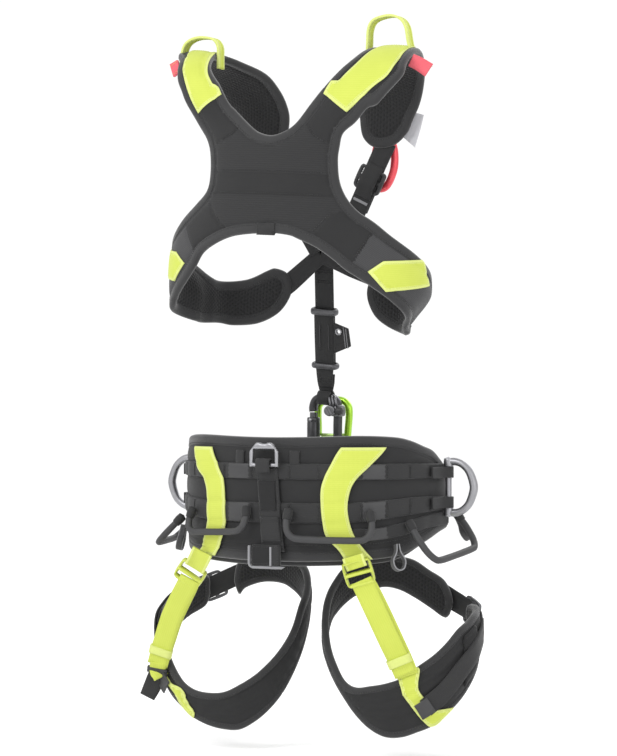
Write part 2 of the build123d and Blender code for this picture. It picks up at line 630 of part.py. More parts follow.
def leg_loops():
    for name, side in SIDES.items():
        place = Pos(LEG_X[name], 0, 0)
        wall = leg_wall(-LEG_PAD, 0)
        halves = [wall & leg_slab(LEG_EDGES[name][half], side, half) for half in ("outer", "inner")]
        pad = halves[0] + halves[1] - Pos(0, LEG_Y, 0) * leg_gap(side, 46, 66)
        add("leg_pad_" + name, place * pad)
        middle = LEG_BRIDGE[name]
        strip = [(80, middle + 26), (20, middle - 10), (20, middle - 38), (80, middle - 2)]
        bridge = leg_wall(0, WEB) & leg_slab(strip, side)
        bridge &= Pos(0, LEG_Y, 0) * leg_gap(side, 30, 84)
        add("leg_webbing_" + name, place * bridge)
        angle = radians(56)
        normal = Vector(side * cos(angle) / LEG_RX, sin(angle) / LEG_RY, 0).normalized()
        spot = Vector(side * (LEG_RX + 4) * cos(angle), LEG_Y + (LEG_RY + 4) * sin(angle), middle)
        lock = ladder_lock(32, 30)
        frame = Plane(origin=spot, x_dir=(0, 0, 1), z_dir=normal)
        add("leg_adjuster_" + name, place * (frame * lock) - place * bridge)


def leg_front_straps():
    """Webbing from the front of each leg loop up to the waist webbing."""
    ends = {"left": (-70, -74, 61), "right": (6, 26, 45)}
    for name in SIDES:
        x_top, x_low, y_low = ends[name]
        strap = ribbon((x_top, LEG_HINGE_Y, LEG_HINGE_Z), (x_low, y_low, -78), 30, WEB)
        strap -= NODES["leg_pad_" + name]
        biggest = max(strap.solids(), key=lambda s: s.volume)
        add("leg_webbing_" + name, NODES["leg_webbing_" + name], biggest)


def risers():
    """Adjustable straps from the back of the belt down to the leg loops."""
    locks = {"left": (-117, -125.5, -79), "right": (105, -132.5, -70)}
    feet = {"left": (-178, -87, -170), "right": (143, -97, -188)}
    inward = {"left": Vector(0.6, 0.79, 0), "right": Vector(-0.45, 0.89, 0)}
    for name in SIDES:
        lock_at = Vector(*locks[name])
        foot = Vector(*feet[name])
        along = (foot - lock_at).normalized()
        across = inward[name].cross(along)
        frame = Plane(origin=lock_at, x_dir=across, z_dir=across.cross(along))
        add("riser_lock_" + name, frame * ladder_lock(33, 30))
        riser = [ribbon(lock_at + along * 16, foot, WEB_WIDTH, WEB, across)]
        if name == "left":
            riser.append(ribbon((-186, -88, -174), (-204, -72, -214), 22, WEB, (0.6, 0.5, 0)))
        add("riser_" + name, *riser)


def riser_patches():
    """Where each riser is sewn down on its leg loop."""
    strips = {"left": [(-73, -206), (-71, -198), (-82, -216), (-87.5, -221), (-90, -237), (-92, -250),
                       (-92, -257), (-89.5, -252), (-86, -241), (-80, -222)],
              "right": [(-88, -191), (-78, -182), (-78, -207), (-67, -229.5), (-48.5, -228), (-68, -247),
                        (-76, -241), (-86, -212)]}
    for name, side in SIDES.items():
        patch = leg_wall(0, SKIN) & leg_slab(strips[name], side)
        add("riser_patch_" + name, Pos(LEG_X[name], 0, 0) * patch)


# ---- whole object --------------------------------------------------------------------------
def build():
    belt_pad()
    belt_webbing()
    lime_straps()
    centre_strap()
    rear_ring()
    rear_keeper()
    gear_loops()
    small_loops()
    side_d_rings()
    waist_straps()
    waist_buckle()
    ventral_loop()
    steel_connector()
    alloy_connector()
    back_panel()
    add_chest("lime_patches", *shoulders(), *wings())
    pull_loops()
    chest_webbing()
    red_ring()
    care_label()
    front_strap()
    leg_loops()
    leg_front_straps()
    risers()
    riser_patches()


build()
for node, shape in NODES.items():
    export_step(shape, os.path.join("parts", node + ".step"))
print(len(NODES), "nodes")
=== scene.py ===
import math
import bpy
import numpy as np
from mathutils.geometry import delaunay_2d_cdt
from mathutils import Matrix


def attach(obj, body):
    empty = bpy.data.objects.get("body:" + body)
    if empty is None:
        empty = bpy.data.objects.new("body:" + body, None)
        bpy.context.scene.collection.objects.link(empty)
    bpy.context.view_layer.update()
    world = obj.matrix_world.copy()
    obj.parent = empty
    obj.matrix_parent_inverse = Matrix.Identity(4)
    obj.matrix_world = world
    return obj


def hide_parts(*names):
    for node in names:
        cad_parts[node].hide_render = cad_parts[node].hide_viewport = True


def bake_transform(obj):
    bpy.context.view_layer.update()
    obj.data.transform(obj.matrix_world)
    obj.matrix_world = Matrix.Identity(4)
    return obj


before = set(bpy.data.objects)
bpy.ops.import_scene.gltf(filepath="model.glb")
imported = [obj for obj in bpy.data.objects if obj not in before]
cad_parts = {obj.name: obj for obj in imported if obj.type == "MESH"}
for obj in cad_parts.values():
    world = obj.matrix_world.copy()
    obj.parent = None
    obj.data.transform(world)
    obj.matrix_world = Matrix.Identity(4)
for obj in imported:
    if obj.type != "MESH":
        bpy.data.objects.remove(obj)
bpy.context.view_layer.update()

# Tree climbing saddle. Lengths are in millimetres until a mesh is made.
# +X is the wearer's right, +Y the wearer's front, +Z up.
MM = 0.001
FINE = 3.2                 # spacing of the points of a padded piece
BINDING = 12.0             # width of the tape that binds a padded edge
WEB = 2.2                  # thickness of one layer of webbing
BELT_PLAN = (159.0, -150.0, 50.0, 220.0, 115.0, 50.0)
CHEST_PLAN = (165.0, -152.0, 8.0, 260.0, 70.0, 60.0)
SHOULDER_Z = 460.0
SHOULDER_Y = -66.0
SHOULDER_R = 74.0
SHOULDER_RAISE = 8.0       # how much higher the right strap arches
CHEST_ROLL = math.radians(3.5)
CHEST_ROLL_Z = 400.0
LEG_RX, LEG_RY, LEG_Y = 97.0, 82.0, -10.0
LEG_X = {"left": -118.0, "right": 102.0}
SIDES = {"left": -1, "right": 1}
VENTRAL_X = -26.0
STEEL_Y = 53.5
ALLOY_Y = 68.0


# ---- camera, light and floor --------------------------------------------------------------
VIEW_AZIMUTH = math.radians(26)
VIEW_DISTANCE = 3100.0
VIEW_SHIFT = -21.0         # how far the view's middle is to the left of the origin
VIEW_HEIGHT = 152.0        # level of the camera
VIEW_SPAN = 907.2          # height of what the camera sees, at the origin
SENSOR = 36.0


def add_camera():
    data = bpy.data.cameras.new("camera")
    data.sensor_width = SENSOR
    data.lens = SENSOR * VIEW_DISTANCE / VIEW_SPAN
    data.clip_end = 100
    camera = bpy.data.objects.new("camera", data)
    c, s = math.cos(VIEW_AZIMUTH), math.sin(VIEW_AZIMUTH)
    x = VIEW_SHIFT * c + VIEW_DISTANCE * s
    y = VIEW_SHIFT * s - VIEW_DISTANCE * c
    camera.location = (x * MM, y * MM, VIEW_HEIGHT * MM)
    camera.rotation_euler = (math.pi / 2, 0, VIEW_AZIMUTH)
    bpy.context.scene.collection.objects.link(camera)
    bpy.context.scene.camera = camera


def area_light(name, place, aim, size, watts):
    data = bpy.data.lights.new(name, "AREA")
    data.size = size
    data.energy = watts
    light = bpy.data.objects.new(name, data)
    light.location = place
    direction = np.array(aim) - np.array(place)
    flat = math.hypot(direction[0], direction[1])
    light.rotation_euler = (math.atan2(flat, -direction[2]), 0, math.atan2(-direction[0], direction[1]))
    bpy.context.scene.collection.objects.link(light)


def add_studio():
    world = bpy.data.worlds.new("studio")
    world.use_nodes = True
    world.node_tree.nodes["Background"].inputs["Color"].default_value = (1, 1, 1, 1)
    world.node_tree.nodes["Background"].inputs["Strength"].default_value = 1.04
    bpy.context.scene.world = world
    middle = (0, 0, 0.15)
    area_light("key_light", (-0.9, -2.4, 1.9), middle, 1.2, 34)
    area_light("fill_light", (2.6, -1.6, 0.9), middle, 1.5, 14)
    area_light("rim_light", (0.3, 2.4, 1.7), middle, 1.6, 26)
    bpy.context.scene.view_settings.view_transform = "Standard"
    bpy.ops.mesh.primitive_circle_add(vertices=96, radius=90, fill_type="NGON", location=(0, 0, -0.29))
    floor = bpy.context.object
    floor.name = "floor"
    sh = Shader("floor_paper", 0.95)
    grain = sh.noise(sh.object_coords(1.0), 3.0)
    sh.colour(grain, (0.97, 0.97, 0.97), (0.99, 0.99, 0.99))
    floor.data.materials.append(sh.material)


# ---- materials ----------------------------------------------------------------------------
BAND = 0.31416             # wave texture scale for one band per unit of length


class Shader:
    """A material whose nodes are added one by one."""

    def __init__(self, name, rough, metal=0.0, sheen=0.0, coat=0.0):
        self.material = bpy.data.materials.new(name)
        self.material.use_nodes = True
        self.tree = self.material.node_tree
        self.surface = self.tree.nodes["Principled BSDF"]
        self.surface.inputs["Roughness"].default_value = rough
        self.surface.inputs["Metallic"].default_value = metal
        self.surface.inputs["Sheen Weight"].default_value = sheen
        self.surface.inputs["Sheen Roughness"].default_value = 0.45
        self.surface.inputs["Coat Weight"].default_value = coat

    def add(self, kind, inputs=None, **values):
        node = self.tree.nodes.new(kind)
        for key, value in values.items():
            setattr(node, key, value)
        for key, value in (inputs or {}).items():
            if isinstance(value, bpy.types.NodeSocket):
                self.tree.links.new(value, node.inputs[key])
            else:
                node.inputs[key].default_value = value
        return node

    def math(self, operation, a, b=0.0):
        return self.add("ShaderNodeMath", {0: a, 1: b}, operation=operation).outputs[0]

    def uv(self):
        """Surface coordinates: along and across, in centimetres."""
        return self.add("ShaderNodeTexCoord").outputs["UV"]

    def object_coords(self, scale=100.0):
        source = self.add("ShaderNodeTexCoord").outputs["Object"]
        return self.add("ShaderNodeMapping", {0: source, "Scale": (scale,) * 3}).outputs[0]

    def noise(self, coords, scale, detail=3.0):
        inputs = {"Vector": coords, "Scale": scale, "Detail": detail}
        return self.add("ShaderNodeTexNoise", inputs).outputs["Fac"]

    def wave(self, coords, pitch, angle=0.0):
        """Rounded ridges one pitch apart; at angle 0 they lie across the first coordinate."""
        turned = self.add("ShaderNodeMapping", {0: coords, "Rotation": (0, 0, angle)}).outputs[0]
        inputs = {"Vector": turned, "Scale": BAND / pitch, "Distortion": 0.0}
        return self.add("ShaderNodeTexWave", inputs).outputs["Fac"]

    def colour(self, factor, low, high):
        mix = self.add("ShaderNodeMix", data_type="RGBA")
        self.tree.links.new(factor, mix.inputs[0])
        mix.inputs[6].default_value = (*low, 1)
        mix.inputs[7].default_value = (*high, 1)
        self.tree.links.new(mix.outputs[2], self.surface.inputs["Base Color"])
        return mix.outputs[2]

    def bump(self, height, depth):
        inputs = {"Height": height, "Distance": depth * MM, "Strength": 1.0}
        node = self.add("ShaderNodeBump", inputs)
        self.tree.links.new(node.outputs[0], self.surface.inputs["Normal"])

    def rough(self, factor, low, high):
        span = self.add("ShaderNodeMapRange", {0: factor, 3: low, 4: high})
        self.tree.links.new(span.outputs[0], self.surface.inputs["Roughness"])


def plain_weave(sh, coords, pitch):
    a = sh.wave(coords, pitch)
    b = sh.wave(coords, pitch, math.pi / 2)
    both = sh.math("MULTIPLY", a, b)
    neither = sh.math("MULTIPLY", sh.math("SUBTRACT", 1.0, a), sh.math("SUBTRACT", 1.0, b))
    return sh.math("ADD", both, neither)


def rib_weave(sh, coords, pitch):
    ribs = sh.wave(coords, pitch, math.pi / 2)
    fine = sh.wave(coords, pitch * 0.45)
    return sh.math("ADD", sh.math("MULTIPLY", ribs, 0.75), sh.math("MULTIPLY", fine, 0.25))


def twill_weave(sh, coords, pitch):
    slant = sh.wave(coords, pitch, math.radians(52))
    fine = sh.wave(coords, pitch * 0.5, math.radians(-38))
    return sh.math("ADD", sh.math("MULTIPLY", slant, 0.7), sh.math("MULTIPLY", fine, 0.3))


def mesh_knit(sh, coords, pitch):
    """Open knit with holes on a hexagonal lattice."""
    total = sh.wave(coords, pitch)
    for turn in (60, 120):
        total = sh.math("ADD", total, sh.wave(coords, pitch, math.radians(turn)))
    inputs = {0: total, 1: 0.75, 2: 1.7}
    return sh.add("ShaderNodeMapRange", inputs).outputs[0]


def tape_weave(sh, coords, pitch):
    """Webbing: fine ribs across, with faint lines along."""
    across = sh.wave(coords, pitch)
    along = sh.wave(coords, pitch * 1.7, math.pi / 2)
    return sh.math("ADD", sh.math("MULTIPLY", across, 0.65), sh.math("MULTIPLY", along, 0.35))


def pile(sh, coords, pitch):
    """Short curled pile of a hook-and-loop patch."""
    return sh.noise(coords, 1.0 / pitch, 6.0)


def cloth(name, low, high, weave, pitch, depth, rough=0.85, sheen=0.12, mapped=True):
    """Fabric: low and high are the colours of its valleys and ridges, pitch is in centimetres."""
    sh = Shader(name, rough, sheen=sheen)
    coords = sh.uv() if mapped else sh.object_coords()
    pattern = weave(sh, coords, pitch)
    cloud = sh.noise(sh.object_coords(), 0.35, 4.0)
    speck = sh.noise(coords, 9.0)
    shade = sh.math("ADD", sh.math("MULTIPLY", pattern, 0.5), sh.math("MULTIPLY", cloud, 0.5))
    sh.colour(sh.math("ADD", sh.math("MULTIPLY", shade, 0.85), sh.math("MULTIPLY", speck, 0.15)), low, high)
    sh.bump(sh.math("ADD", pattern, sh.math("MULTIPLY", speck, 0.35)), depth)
    sh.rough(cloud, rough - 0.08, min(1.0, rough + 0.08))
    return sh.material


def metal(name, low, high, rough, metallic=1.0, coat=0.0):
    """Finished metal: faint cloudy tone, fine scratches and paler worn edges."""
    sh = Shader(name, rough, metal=metallic, coat=coat)
    coords = sh.object_coords()
    cloud = sh.noise(coords, 0.9, 5.0)
    worn = sh.add("ShaderNodeNewGeometry").outputs["Pointiness"]
    edge = sh.add("ShaderNodeMapRange", {0: worn, 1: 0.52, 2: 0.62}).outputs[0]
    sh.colour(sh.math("ADD", sh.math("MULTIPLY", cloud, 0.6), sh.math("MULTIPLY", edge, 0.6)), low, high)
    grain = sh.noise(coords, 14.0, 6.0)
    sh.bump(grain, 0.05)
    sh.rough(grain, max(0.05, rough - 0.1), rough + 0.12)
    return sh.material


def plastic(name, low, high, rough, depth=0.06):
    sh = Shader(name, rough)
    coords = sh.object_coords()
    grain = sh.noise(coords, 22.0, 2.0)
    cloud = sh.noise(coords, 0.8, 4.0)
    sh.colour(sh.math("ADD", sh.math("MULTIPLY", cloud, 0.7), sh.math("MULTIPLY", grain, 0.3)), low, high)
    sh.bump(grain, depth)
    sh.rough(cloud, rough - 0.07, rough + 0.1)
    return sh.material


LIME_LOW, LIME_HIGH = (0.44, 0.52, 0.045), (0.60, 0.66, 0.12)
LIME_EDGE_LOW, LIME_EDGE_HIGH = (0.54, 0.62, 0.15), (0.69, 0.74, 0.24)


def grey(value):
    return (value, value, value * 1.05)


def black(low, high):
    """Valley and ridge tones of a black fabric."""
    return grey(low * 0.6), grey(high * 0.6)


MATERIALS = {
    "shell": cloth("shell_fabric", *black(0.012, 0.026), plain_weave, 0.11, 0.10),
    "ribbed": cloth("ribbed_fabric", *black(0.012, 0.042), rib_weave, 0.25, 0.22),
    "twill": cloth("twill_fabric", grey(0.020), grey(0.062), twill_weave, 0.19, 0.2),
    "lining": cloth("mesh_lining", *black(0.006, 0.032), mesh_knit, 0.42, 0.5, 0.95),
    "binding": cloth("binding_tape", grey(0.013), grey(0.026), plain_weave, 0.09, 0.08, 0.8, 0.35),
    "webbing": cloth("black_webbing", *black(0.012, 0.034), tape_weave, 0.13, 0.16, 0.75),
    # Satin webbing: smoother than the black webbing, which is real, and lighter in tone, which is a painted
    # glint on the raised bars it covers.
    "satin": cloth("satin_webbing_painted_glint", *black(0.035, 0.07), tape_weave, 0.1, 0.07, 0.45, 0.1),
    "dark": cloth("dark_fabric", *black(0.010, 0.022), plain_weave, 0.11, 0.1, 0.9),
    "pile": cloth("loop_pile", grey(0.004), grey(0.02), pile, 0.09, 0.5, 1.0, 0.1),
    "lime": cloth("lime_webbing", LIME_LOW, LIME_HIGH, tape_weave, 0.14, 0.13, 0.8),
    "lime_edge": cloth("lime_tape", LIME_EDGE_LOW, LIME_EDGE_HIGH, plain_weave, 0.1, 0.08, 0.75),
    "thread": cloth("black_thread", grey(0.006), grey(0.02), tape_weave, 0.05, 0.05, 0.7, mapped=False),
    "lime_thread": cloth("lime_thread", LIME_LOW, LIME_HIGH, tape_weave, 0.05, 0.05, 0.7, mapped=False),
    "pale_tape": cloth("pale_tape", grey(0.16), grey(0.3), tape_weave, 0.1, 0.08, 0.7),
    "label": cloth("label_tape", grey(0.5), grey(0.64), plain_weave, 0.06, 0.03, 0.7),
    "red_tape": cloth("red_tape", (0.62, 0.05, 0.08), (0.8, 0.16, 0.19), plain_weave, 0.1, 0.08, 0.7),
    "cord": cloth("grey_cord", grey(0.03), grey(0.09), twill_weave, 0.14, 0.15, 0.8),
    "forged": metal("forged_grey_metal", grey(0.24), grey(0.46), 0.42),
    "steel": metal("black_steel", grey(0.028), grey(0.12), 0.36, 0.75),
    "clamp": metal("grey_clamp_metal", grey(0.10), grey(0.28), 0.45),
    "dark_metal": metal("dark_anodised", grey(0.07), grey(0.17), 0.45, 0.85),
    "lime_metal": metal("lime_anodised", (0.30, 0.58, 0.03), (0.50, 0.80, 0.08), 0.3, 0.7, 0.3),
    "pale_lime_metal": metal("pale_lime_anodised", (0.5, 0.75, 0.2), (0.66, 0.9, 0.35), 0.35, 0.6),
    "red_metal": metal("red_anodised", (0.62, 0.03, 0.05), (0.85, 0.12, 0.14), 0.35, 0.45, 0.3),
    "tube": plastic("gear_loop_sleeve", grey(0.022), grey(0.05), 0.6, 0.12),
    "black_plastic": plastic("black_plastic", grey(0.018), grey(0.04), 0.5),
    "lime_plastic": plastic("lime_plastic", LIME_LOW, LIME_HIGH, 0.4),
}


# ---- mesh helpers -------------------------------------------------------------------------
def make_mesh(name, points, faces, coords, paint, index=None, smooth=True):
    """Object from points in millimetres; coords are surface coordinates, paint its material names."""
    mesh = bpy.data.meshes.new(name)
    mesh.from_pydata((np.asarray(points) * MM).tolist(), [], [list(map(int, f)) for f in faces])
    layer = mesh.uv_layers.new(name="surface")
    loops = np.zeros(len(mesh.loops), np.int32)
    mesh.loops.foreach_get("vertex_index", loops)
    layer.data.foreach_set("uv", (np.asarray(coords, float)[loops] * 0.1).astype(np.float32).ravel())
    for item in paint:
        mesh.materials.append(MATERIALS[item])
    if index is not None:
        mesh.polygons.foreach_set("material_index", np.asarray(index, np.int32))
    mesh.polygons.foreach_set("use_smooth", np.full(len(mesh.polygons), smooth))
    mesh.update()
    obj = bpy.data.objects.new(name, mesh)
    bpy.context.scene.collection.objects.link(obj)
    return obj


def smooth_path(points, step, closed=False):
    """Even points along a soft curve through the given ones."""
    p = np.asarray(points, float)
    if closed:
        ext = np.vstack([p[-1:], p, p[:2]])
    else:
        ext = np.vstack([2 * p[0] - p[1], p, 2 * p[-1] - p[-2]])
    t = np.linspace(0, 1, 12, endpoint=False)[:, None]
    out = []
    for a, b, c, d in zip(ext[:-3], ext[1:-2], ext[2:-1], ext[3:]):
        cubic = (3 * b - a - 3 * c + d) * t ** 3
        square = (2 * a - 5 * b + 4 * c - d) * t ** 2
        out.append(0.5 * (2 * b + (c - a) * t + square + cubic))
    out.append(ext[-2:-1])
    return even(np.vstack(out), step)


def lengths(path):
    """Length of a path up to each of its points."""
    return np.concatenate([[0], np.cumsum(np.linalg.norm(np.diff(path, axis=0), axis=1))])


def units(rows):
    """Each row as a unit vector."""
    return rows / np.linalg.norm(rows, axis=1)[:, None]


def even(p, step):
    """The same line with points one step apart."""
    p = np.asarray(p, float)
    s = lengths(p)
    q = np.linspace(0, s[-1], max(2, int(round(s[-1] / step)) + 1))
    return np.stack([np.interp(q, s, p[:, i]) for i in range(p.shape[1])], axis=1)


def outline(*stretches, step=FINE):
    """Closed loop of soft stretches that meet at corners."""
    parts = [smooth_path(s, step)[:-1] if len(s) > 2 else even(s, step)[:-1] for s in stretches]
    return np.vstack(parts)


def polygon(*corners, step=FINE):
    """Closed loop of straight sides."""
    return outline(*zip(corners, [*corners[1:], corners[0]]), step=step)


def circle(x, y, half_x, half_y, count):
    turns = np.linspace(0, 2 * math.pi, count, endpoint=False)
    return np.stack([x + half_x * np.cos(turns), y + half_y * np.sin(turns)], axis=1)


def segment_distance(points, a, b):
    """Distance from each point to the nearest of the segments a-b."""
    d = b - a
    long = np.maximum((d ** 2).sum(1), 1e-9)
    best = np.full(len(points), 1e9)
    for i in range(0, len(points), 1500):
        p = points[i:i + 1500, None, :]
        t = np.clip(((p - a) * d).sum(2) / long, 0, 1)
        gap = a + t[..., None] * d - p
        best[i:i + 1500] = np.sqrt((gap ** 2).sum(2)).min(1)
    return best


def loop_distance(points, loops):
    a = np.vstack(loops)
    b = np.vstack([np.roll(loop, -1, axis=0) for loop in loops])
    return segment_distance(points, a, b)


def line_distance(points, lines):
    if not lines:
        return np.full(len(points), 1e3)
    a = np.vstack([line[:-1] for line in lines])
    b = np.vstack([line[1:] for line in lines])
    return segment_distance(points, a, b)


def inside(points, loop):
    """True for each point within a closed loop."""
    x, y = points[:, 0][:, None], points[:, 1][:, None]
    ax, ay = loop[:, 0], loop[:, 1]
    bx, by = np.roll(ax, -1), np.roll(ay, -1)
    crosses = (ay > y) != (by > y)
    run = np.where(by == ay, 1e-9, by - ay)
    return (crosses & (x < (bx - ax) * (y - ay) / run + ax)).sum(1) % 2 == 1


def inset(loop, gap):
    """Points a fixed way in from a closed loop, without those that fold over."""
    ahead, behind = np.roll(loop, -1, axis=0), np.roll(loop, 1, axis=0)
    along = units(ahead - behind)
    area = (loop[:, 0] * ahead[:, 1] - ahead[:, 0] * loop[:, 1]).sum()
    inward = np.stack([-along[:, 1], along[:, 0]], axis=1) * (1 if area > 0 else -1)
    moved = loop + inward * gap
    return moved[loop_distance(moved, [loop]) > gap * 0.97]


class Panel:
    """A closed flat or padded piece laid on a surface.

    place(u, v, out) gives points in space; loops are the outline and any holes, in (u, v);
    outer and inner give how far each face stands out, from (uv, distance to the edge)."""

    def __init__(self, place, loops, outer, inner, step=FINE, rings=(), seams=()):
        self.place = place
        self.loops = [np.asarray(loop, float) for loop in loops]
        self.outer = outer
        self.inner = inner
        self.step = step
        self.rings = rings
        self.seams = list(seams)

    def edge(self, uv):
        return loop_distance(uv, self.loops)

    def on(self, uv, lift=0.0, inner=False):
        """Points in space on one of the faces."""
        uv = np.asarray(uv, float)
        height = (self.inner if inner else self.outer)(uv, self.edge(uv))
        return self.place(uv[:, 0], uv[:, 1], height + lift)

    def within(self, uv):
        keep = inside(uv, self.loops[0])
        for hole in self.loops[1:]:
            keep &= ~inside(uv, hole)
        return keep

    def flat_points(self):
        ring_points = [inset(loop, gap) for gap in self.rings for loop in self.loops]
        fixed = [*self.loops, *ring_points, *self.seams]
        low, high = self.loops[0].min(0), self.loops[0].max(0)
        rows = np.arange(low[1] + self.step / 2, high[1], self.step * 0.87)
        grid = []
        for k, v in enumerate(rows):
            u = np.arange(low[0] + self.step * (0.5 if k % 2 else 1.0), high[0], self.step)
            grid.append(np.stack([u, np.full(len(u), v)], axis=1))
        grid = np.vstack(grid) if grid else np.zeros((0, 2))
        grid = grid[self.within(grid)] if len(grid) else grid
        if len(grid):
            grid = grid[self.edge(grid) > self.step * 0.55]
        extra = [p for p in [*ring_points, *self.seams] if len(p)]
        if len(grid) and extra:
            cloud = np.vstack(extra)
            keep = np.ones(len(grid), bool)
            for i in range(0, len(grid), 1000):
                gap = np.linalg.norm(grid[i:i + 1000, None, :] - cloud[None], axis=2).min(1)
                keep[i:i + 1000] = gap > self.step * 0.5
            grid = grid[keep]
        return fixed, grid

    def build(self, name, paint, region=None, smooth=True):
        """Mesh with the faces painted by region(uv, distance, inner), an index into paint."""
        fixed, grid = self.flat_points()
        coords = np.vstack([*fixed, grid])
        edges, start = [], 0
        for loop in self.loops:
            edges += [(start + i, start + (i + 1) % len(loop)) for i in range(len(loop))]
            start += len(loop)
        verts, _, tris, *_ = delaunay_2d_cdt([tuple(c) for c in coords], edges, [], 0, 1e-5)
        uv = np.array([(v[0], v[1]) for v in verts])
        tris = np.array([t for t in tris if len(t) == 3])
        tris = tris[self.within(uv[tris].mean(1))]
        used = np.unique(tris)
        back = np.full(len(uv), -1)
        back[used] = np.arange(len(used))
        uv, tris = uv[used], back[tris]
        gap = self.edge(uv)
        rim = gap < 1e-3
        low_index = np.arange(len(uv))
        low_index[~rim] = len(uv) + np.arange((~rim).sum())
        top = self.place(uv[:, 0], uv[:, 1], self.outer(uv, gap))
        low = self.place(uv[~rim, 0], uv[~rim, 1], self.inner(uv[~rim], gap[~rim]))
        faces = np.vstack([tris, low_index[tris][:, ::-1]])
        centre = uv[tris].mean(1)
        index = None
        if region is not None:
            centre_gap = gap[tris].mean(1)
            index = np.concatenate([region(centre, centre_gap, False), region(centre, centre_gap, True)])
        both = np.vstack([uv, uv[~rim]])
        return make_mesh(name, np.vstack([top, low]), faces, both, paint, index, smooth)


def bulge(gap, radius):
    """Rounded rim: 0 at the edge, 1 from the radius inward."""
    return np.sqrt(np.clip(1 - (1 - np.clip(gap / radius, 0, 1)) ** 2, 0, 1))


def groove(distance, width):
    return np.exp(-(distance / width) ** 2)


def soft(t):
    t = np.clip(t, 0, 1)
    return t * t * (3 - 2 * t)


def ripple(uv, wave=23.0):
    """Slow unevenness of sewn padding, between about -1 and 1."""
    u, v = uv[:, 0] / wave, uv[:, 1] / wave
    slow = np.sin(u * 1.7 + 1.3 * np.sin(v * 1.1))
    fast = np.sin(v * 2.3 + 1.7 * np.sin(u * 0.9 + 2)) * 0.7
    return (slow + fast) / 1.7


def plate_panel(place, loops, low, high, edge=0.6, step=3.0):
    """Even sheet between two heights with softly rounded edges."""
    mid, half = (low + high) / 2, (high - low) / 2

    def outer(uv, gap):
        return mid + half * bulge(gap, edge)

    def inner(uv, gap):
        return mid - half * bulge(gap, edge)

    return Panel(place, loops, outer, inner, step, rings=(edge * 0.3, edge))


DASH = [(-0.5, 0, 0), (-0.32, -1, 0), (-0.32, 0, 1), (-0.32, 1, 0), (0.32, -1, 0), (0.32, 0, 1),
        (0.32, 1, 0),
        (0.5, 0, 0)]
DASH_FACES = [(0, 2, 1), (0, 3, 2), (1, 2, 5, 4), (2, 3, 6, 5), (4, 5, 7), (5, 6, 7), (0, 1, 4, 7),
              (0, 7, 6, 3)]


def stitches(name, lines, paint="thread", length=2.3, pitch=3.3, width=0.42, height=0.4):
    """Rows of stitches; each line is (points, normals) in space."""
    dash = np.array(DASH)
    points, faces = [], []
    for path, normals in lines:
        s = lengths(path)
        q = np.arange(pitch / 2, s[-1], pitch)
        if not len(q):
            continue
        c = np.stack([np.interp(q, s, path[:, i]) for i in range(3)], axis=1)
        n = np.stack([np.interp(q, s, normals[:, i]) for i in range(3)], axis=1)
        ahead = np.stack([np.interp(q + 0.5, s, path[:, i]) for i in range(3)], axis=1)
        t = ahead - np.stack([np.interp(q - 0.5, s, path[:, i]) for i in range(3)], axis=1)
        t /= np.maximum(np.linalg.norm(t, axis=1)[:, None], 1e-9)
        n -= t * (n * t).sum(1)[:, None]
        n /= np.maximum(np.linalg.norm(n, axis=1)[:, None], 1e-9)
        b = np.cross(t, n)
        for k in range(len(q)):
            start = len(points)
            shape = c[k] + dash[:, :1] * length * t[k] + dash[:, 1:2] * width * b[k]
            shape = shape + dash[:, 2:] * height * n[k]
            points += shape.tolist()
            faces += [[start + i for i in face] for face in DASH_FACES]
    points = np.array(points)
    return make_mesh(name, points, faces, points[:, :2], [paint])


def panel_line(panel, uv, lift=0.0, inner=False):
    """A line on a panel's face, as (points, normals)."""
    uv = np.asarray(uv, float)
    path = panel.on(uv, lift, inner)
    out = -1.0 if inner else 1.0
    base = panel.place(uv[:, 0], uv[:, 1], np.zeros(len(uv)))
    return path, panel.place(uv[:, 0], uv[:, 1], np.full(len(uv), out)) - base


def broken_lines(points, limit):
    """Split a row of points wherever it jumps."""
    jumps = np.where(np.linalg.norm(np.diff(points, axis=0), axis=1) > limit)[0] + 1
    return [part for part in np.split(points, jumps) if len(part) > 3]


def edge_stitches(name, panel, gap, paint="thread", inner=False, loop=0, **sizes):
    ring = inset(panel.loops[loop], gap)
    ring = np.vstack([ring, ring[:1]])
    lines = [panel_line(panel, part, 0.0, inner) for part in broken_lines(ring, FINE * 3)]
    return stitches(name, lines, paint, **sizes)


def frames(path, across):
    """Directions along, across and out for each point of a strap."""
    along = units(np.gradient(path, axis=0))
    across = units(across - along * (across * along).sum(1)[:, None])
    return along, across, np.cross(across, along)


def spread(values, count):
    """Even values between the ones given for a path's points."""
    values = np.asarray(values, float)
    if values.ndim == 0:
        return np.full(count, float(values))
    t = np.linspace(0, len(values) - 1, count)
    if values.ndim == 1:
        return np.interp(t, np.arange(len(values)), values)
    return np.stack([np.interp(t, np.arange(len(values)), values[:, i]) for i in range(values.shape[1])],
                    axis=1)


def section_sweep(name, path, a, b, section, coords_across, paint, index=None, closed=False):
    """Sweep a closed section (columns: along a, along b) down a path."""
    n, m = len(path), len(section)
    points = path[:, None, :] + section[None, :, :1] * a[:, None, :] + section[None, :, 1:] * b[:, None, :]
    points = points.reshape(-1, 3)
    faces, kinds = [], []
    for i in range(n if closed else n - 1):
        k = (i + 1) % n
        for j in range(m):
            l = (j + 1) % m
            faces.append((i * m + j, i * m + l, k * m + l, k * m + j))
            kinds.append(index[j] if index is not None else 0)
    if not closed:
        faces.append(tuple(range(m))[::-1])
        faces.append(tuple((n - 1) * m + j for j in range(m)))
        kinds += [0, 0]
    s = lengths(path)
    coords = np.stack([np.repeat(s, m), np.tile(coords_across, n)], axis=1)
    return make_mesh(name, points, faces, coords, paint, kinds)


